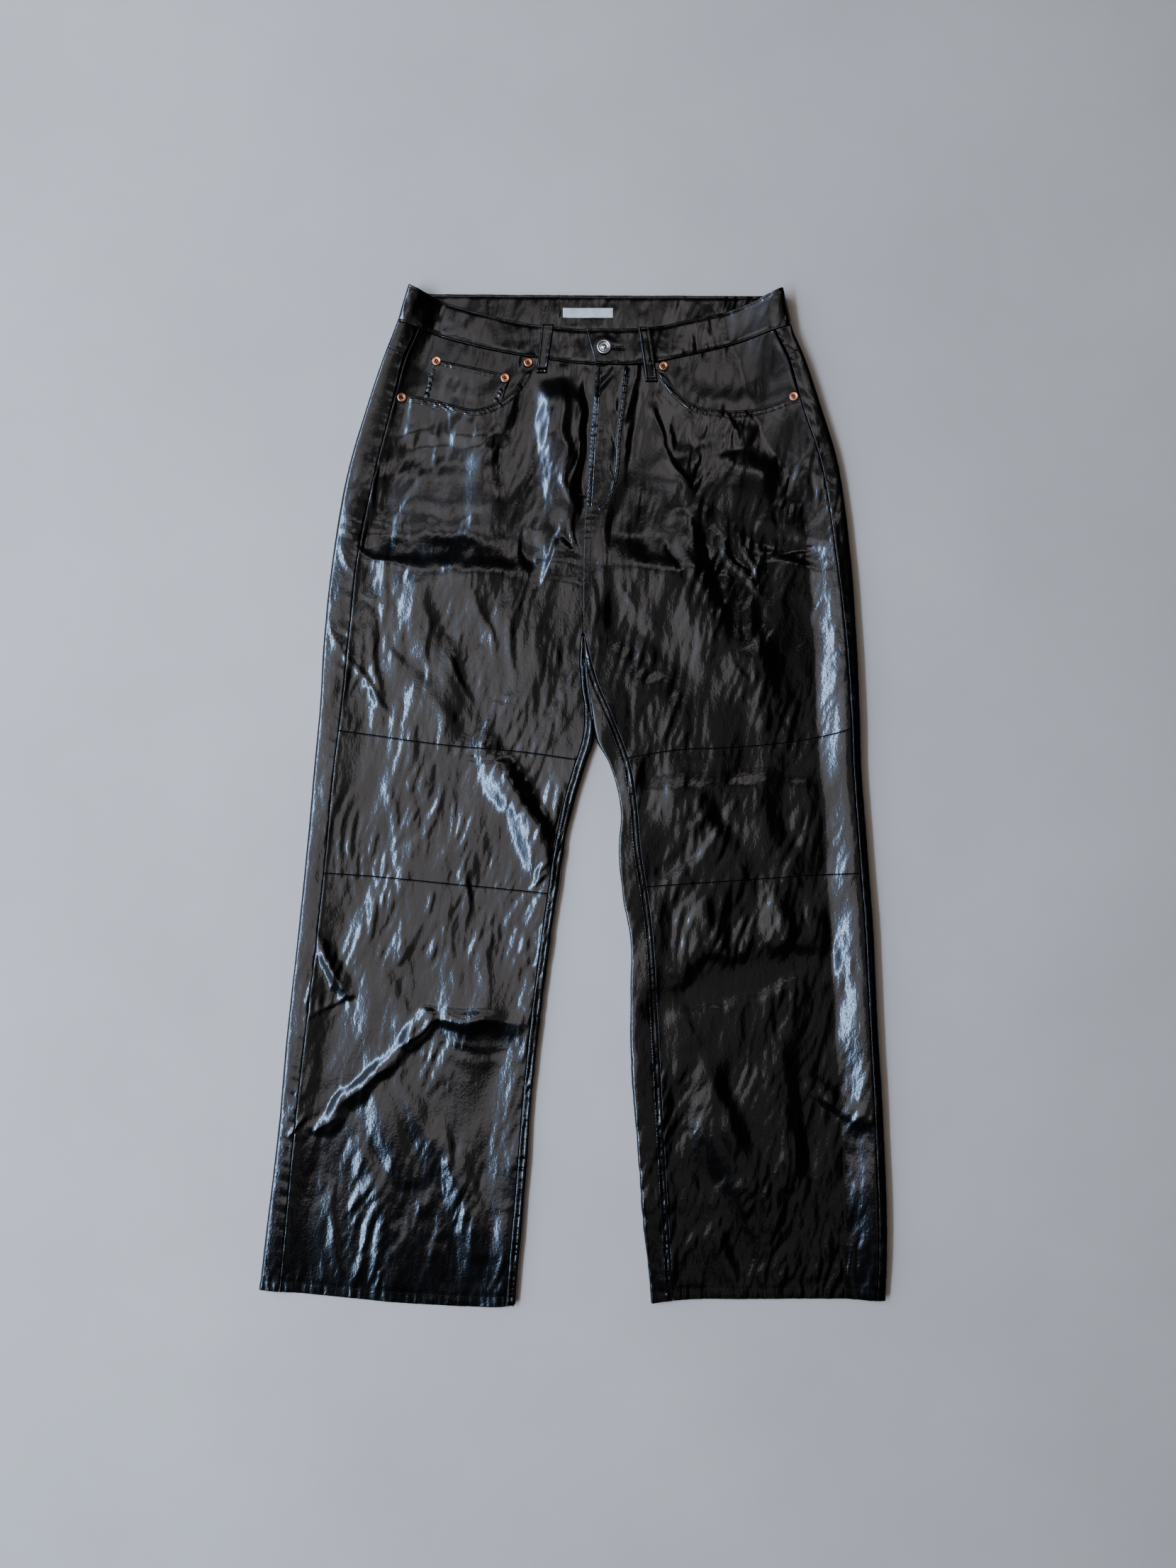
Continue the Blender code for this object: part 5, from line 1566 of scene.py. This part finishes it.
LEATHER_FINISH = leather("Black coated leather", (0.0062, 0.0056, 0.0055),
                         (0.0100, 0.0088, 0.0084), 0.30, 0.95, 0.9)
FACING_FINISH = leather("Black leather, facing", (0.0068, 0.0061, 0.0060),
                        (0.0105, 0.0093, 0.0090), 0.30, 0.8, 1.0)
THREAD_FINISH = thread()
LABEL_FINISH = woven("White woven satin")
COPPER_FINISH = metal("Copper", (0.80, 0.42, 0.27), (0.42, 0.20, 0.13), 0.24, 0.6)
# Dull dark copper for the rivets' centres: painted shade of their hollow centres, not tarnish
HOLLOW_SHADE_FINISH = metal("Copper painted with the shade of its hollow", (0.12, 0.075, 0.06), (0.05, 0.035, 0.03), 0.38, 0.6)
STEEL_FINISH = metal("Nickel steel", (0.62, 0.62, 0.63), (0.30, 0.30, 0.31), 0.24, 0.7)


def make_garment():
    for side in SIDES:
        make_fronts(side)
        make_back(side)
        make_facing(side)
        make_back_pocket(side)
        make_front_loop(side)
    make_coin_pocket()
    make_waistband()
    for place, x in BACK_LOOPS.items():
        make_back_loop(place, x)
    make_label()
    sew()
    make_metal()


# Floor, light and camera

FLOOR_HALF = 6
CEILING_HEIGHT = 2.9
CEILING_COLOUR = (1.0, 0.94, 0.93)
# Panels of soft light above, which the leather reflects: the middle and width along X, the
# stretches along Y with a dark gap between them, and the watts for each square metre
CEILING = (
    ("ceiling_left_low", -0.89, 0.72, ((-1.35, -0.05),), 4.0),
    ("ceiling_left_high", -0.89, 0.72, ((-0.05, 0.7), (1.0, 1.63)), 4.9),
    ("ceiling_middle", -0.24, 0.52, ((-1.25, 0.7), (1.0, 1.8)), 4.4),
    ("ceiling_right", 0.60, 0.80, ((-2.0, 0.6),), 1.05),
    ("ceiling_hip", 0.50, 0.60, ((1.0, 1.7),), 5.6))
# Light from the side: place, aim, size, watts and colour
SIDE_LIGHTS = (
    ("window", (-2.40, -0.05, 1.60), (0, -0.05, 0), (4.4, 1.7), 22, (0.70, 0.82, 1.0)),
    ("window_bar", (-1.58, 0.0, 2.50), (-0.1, 0, 0), (3.2, 0.14), 36, (0.60, 0.76, 1.0)),
    ("skylight", (-1.74, 0.0, 2.55), (-0.1, 0, 0), (3.6, 1.0), 38, (0.48, 0.66, 1.0)))

CAMERA_PLACE = (0.01554, 0.01556, 1.235)
CAMERA_ANGLE = math.radians(67.3)


def set_stage():
    mesh, far = bpy.data.meshes.new("floor"), FLOOR_HALF
    corners = [(-far, -far, 0), (far, -far, 0), (far, far, 0), (-far, far, 0)]
    mesh.from_pydata(corners, [], [(0, 1, 2, 3)])
    floor = bpy.data.objects.new("floor", mesh)
    mesh.materials.append(floor_paint())
    bpy.context.scene.collection.objects.link(floor)


def area_light(name, place, aim, size, watts, colour):
    light = bpy.data.lights.new(name, "AREA")
    light.shape = "RECTANGLE"
    light.size, light.size_y = size
    light.energy, light.color = watts, colour
    lamp = bpy.data.objects.new(name, light)
    lamp.location = place
    lamp.rotation_euler = (Vector(aim) - Vector(place)).to_track_quat("-Z", "Y").to_euler()
    bpy.context.scene.collection.objects.link(lamp)


def pale_room():
    """Pale walls all round, which fade to a dark ceiling."""
    world = bpy.data.worlds.new("room")
    world.use_nodes = True
    tree, background = world.node_tree, world.node_tree.nodes["Background"]
    background.inputs["Color"].default_value = (0.80, 0.80, 0.82, 1)
    direction = tree.nodes.new("ShaderNodeTexCoord").outputs["Generated"]
    split = tree.nodes.new("ShaderNodeSeparateXYZ")
    fade = tree.nodes.new("ShaderNodeMapRange")
    fade.interpolation_type = "SMOOTHSTEP"
    limits = {"From Min": 0.12, "From Max": 0.62, "To Min": 0.34, "To Max": 0.012}
    for key, value in limits.items():
        fade.inputs[key].default_value = value
    tree.links.new(direction, split.inputs[0])
    tree.links.new(split.outputs["Z"], fade.inputs["Value"])
    tree.links.new(fade.outputs["Result"], background.inputs["Strength"])
    return world


def set_camera_and_light():
    scene = bpy.context.scene
    for light in SIDE_LIGHTS:
        area_light(*light)
    for name, x, width, spans, strength in CEILING:
        for number, (low, high) in enumerate(spans, 1):
            y = (low + high) / 2
            area_light(f"{name}_{number}", (x, y, CEILING_HEIGHT), (x, y, 0), (width, high - low),
                       strength * width * (high - low), CEILING_COLOUR)
    scene.world = pale_room()
    lens = bpy.data.cameras.new("camera")
    lens.angle = CAMERA_ANGLE
    eye = bpy.data.objects.new("camera", lens)
    eye.location = CAMERA_PLACE
    scene.collection.objects.link(eye)
    scene.camera = eye
    scene.view_settings.look = "AgX - High Contrast"


set_stage()
set_camera_and_light()
make_garment()
bpy.context.view_layer.update()
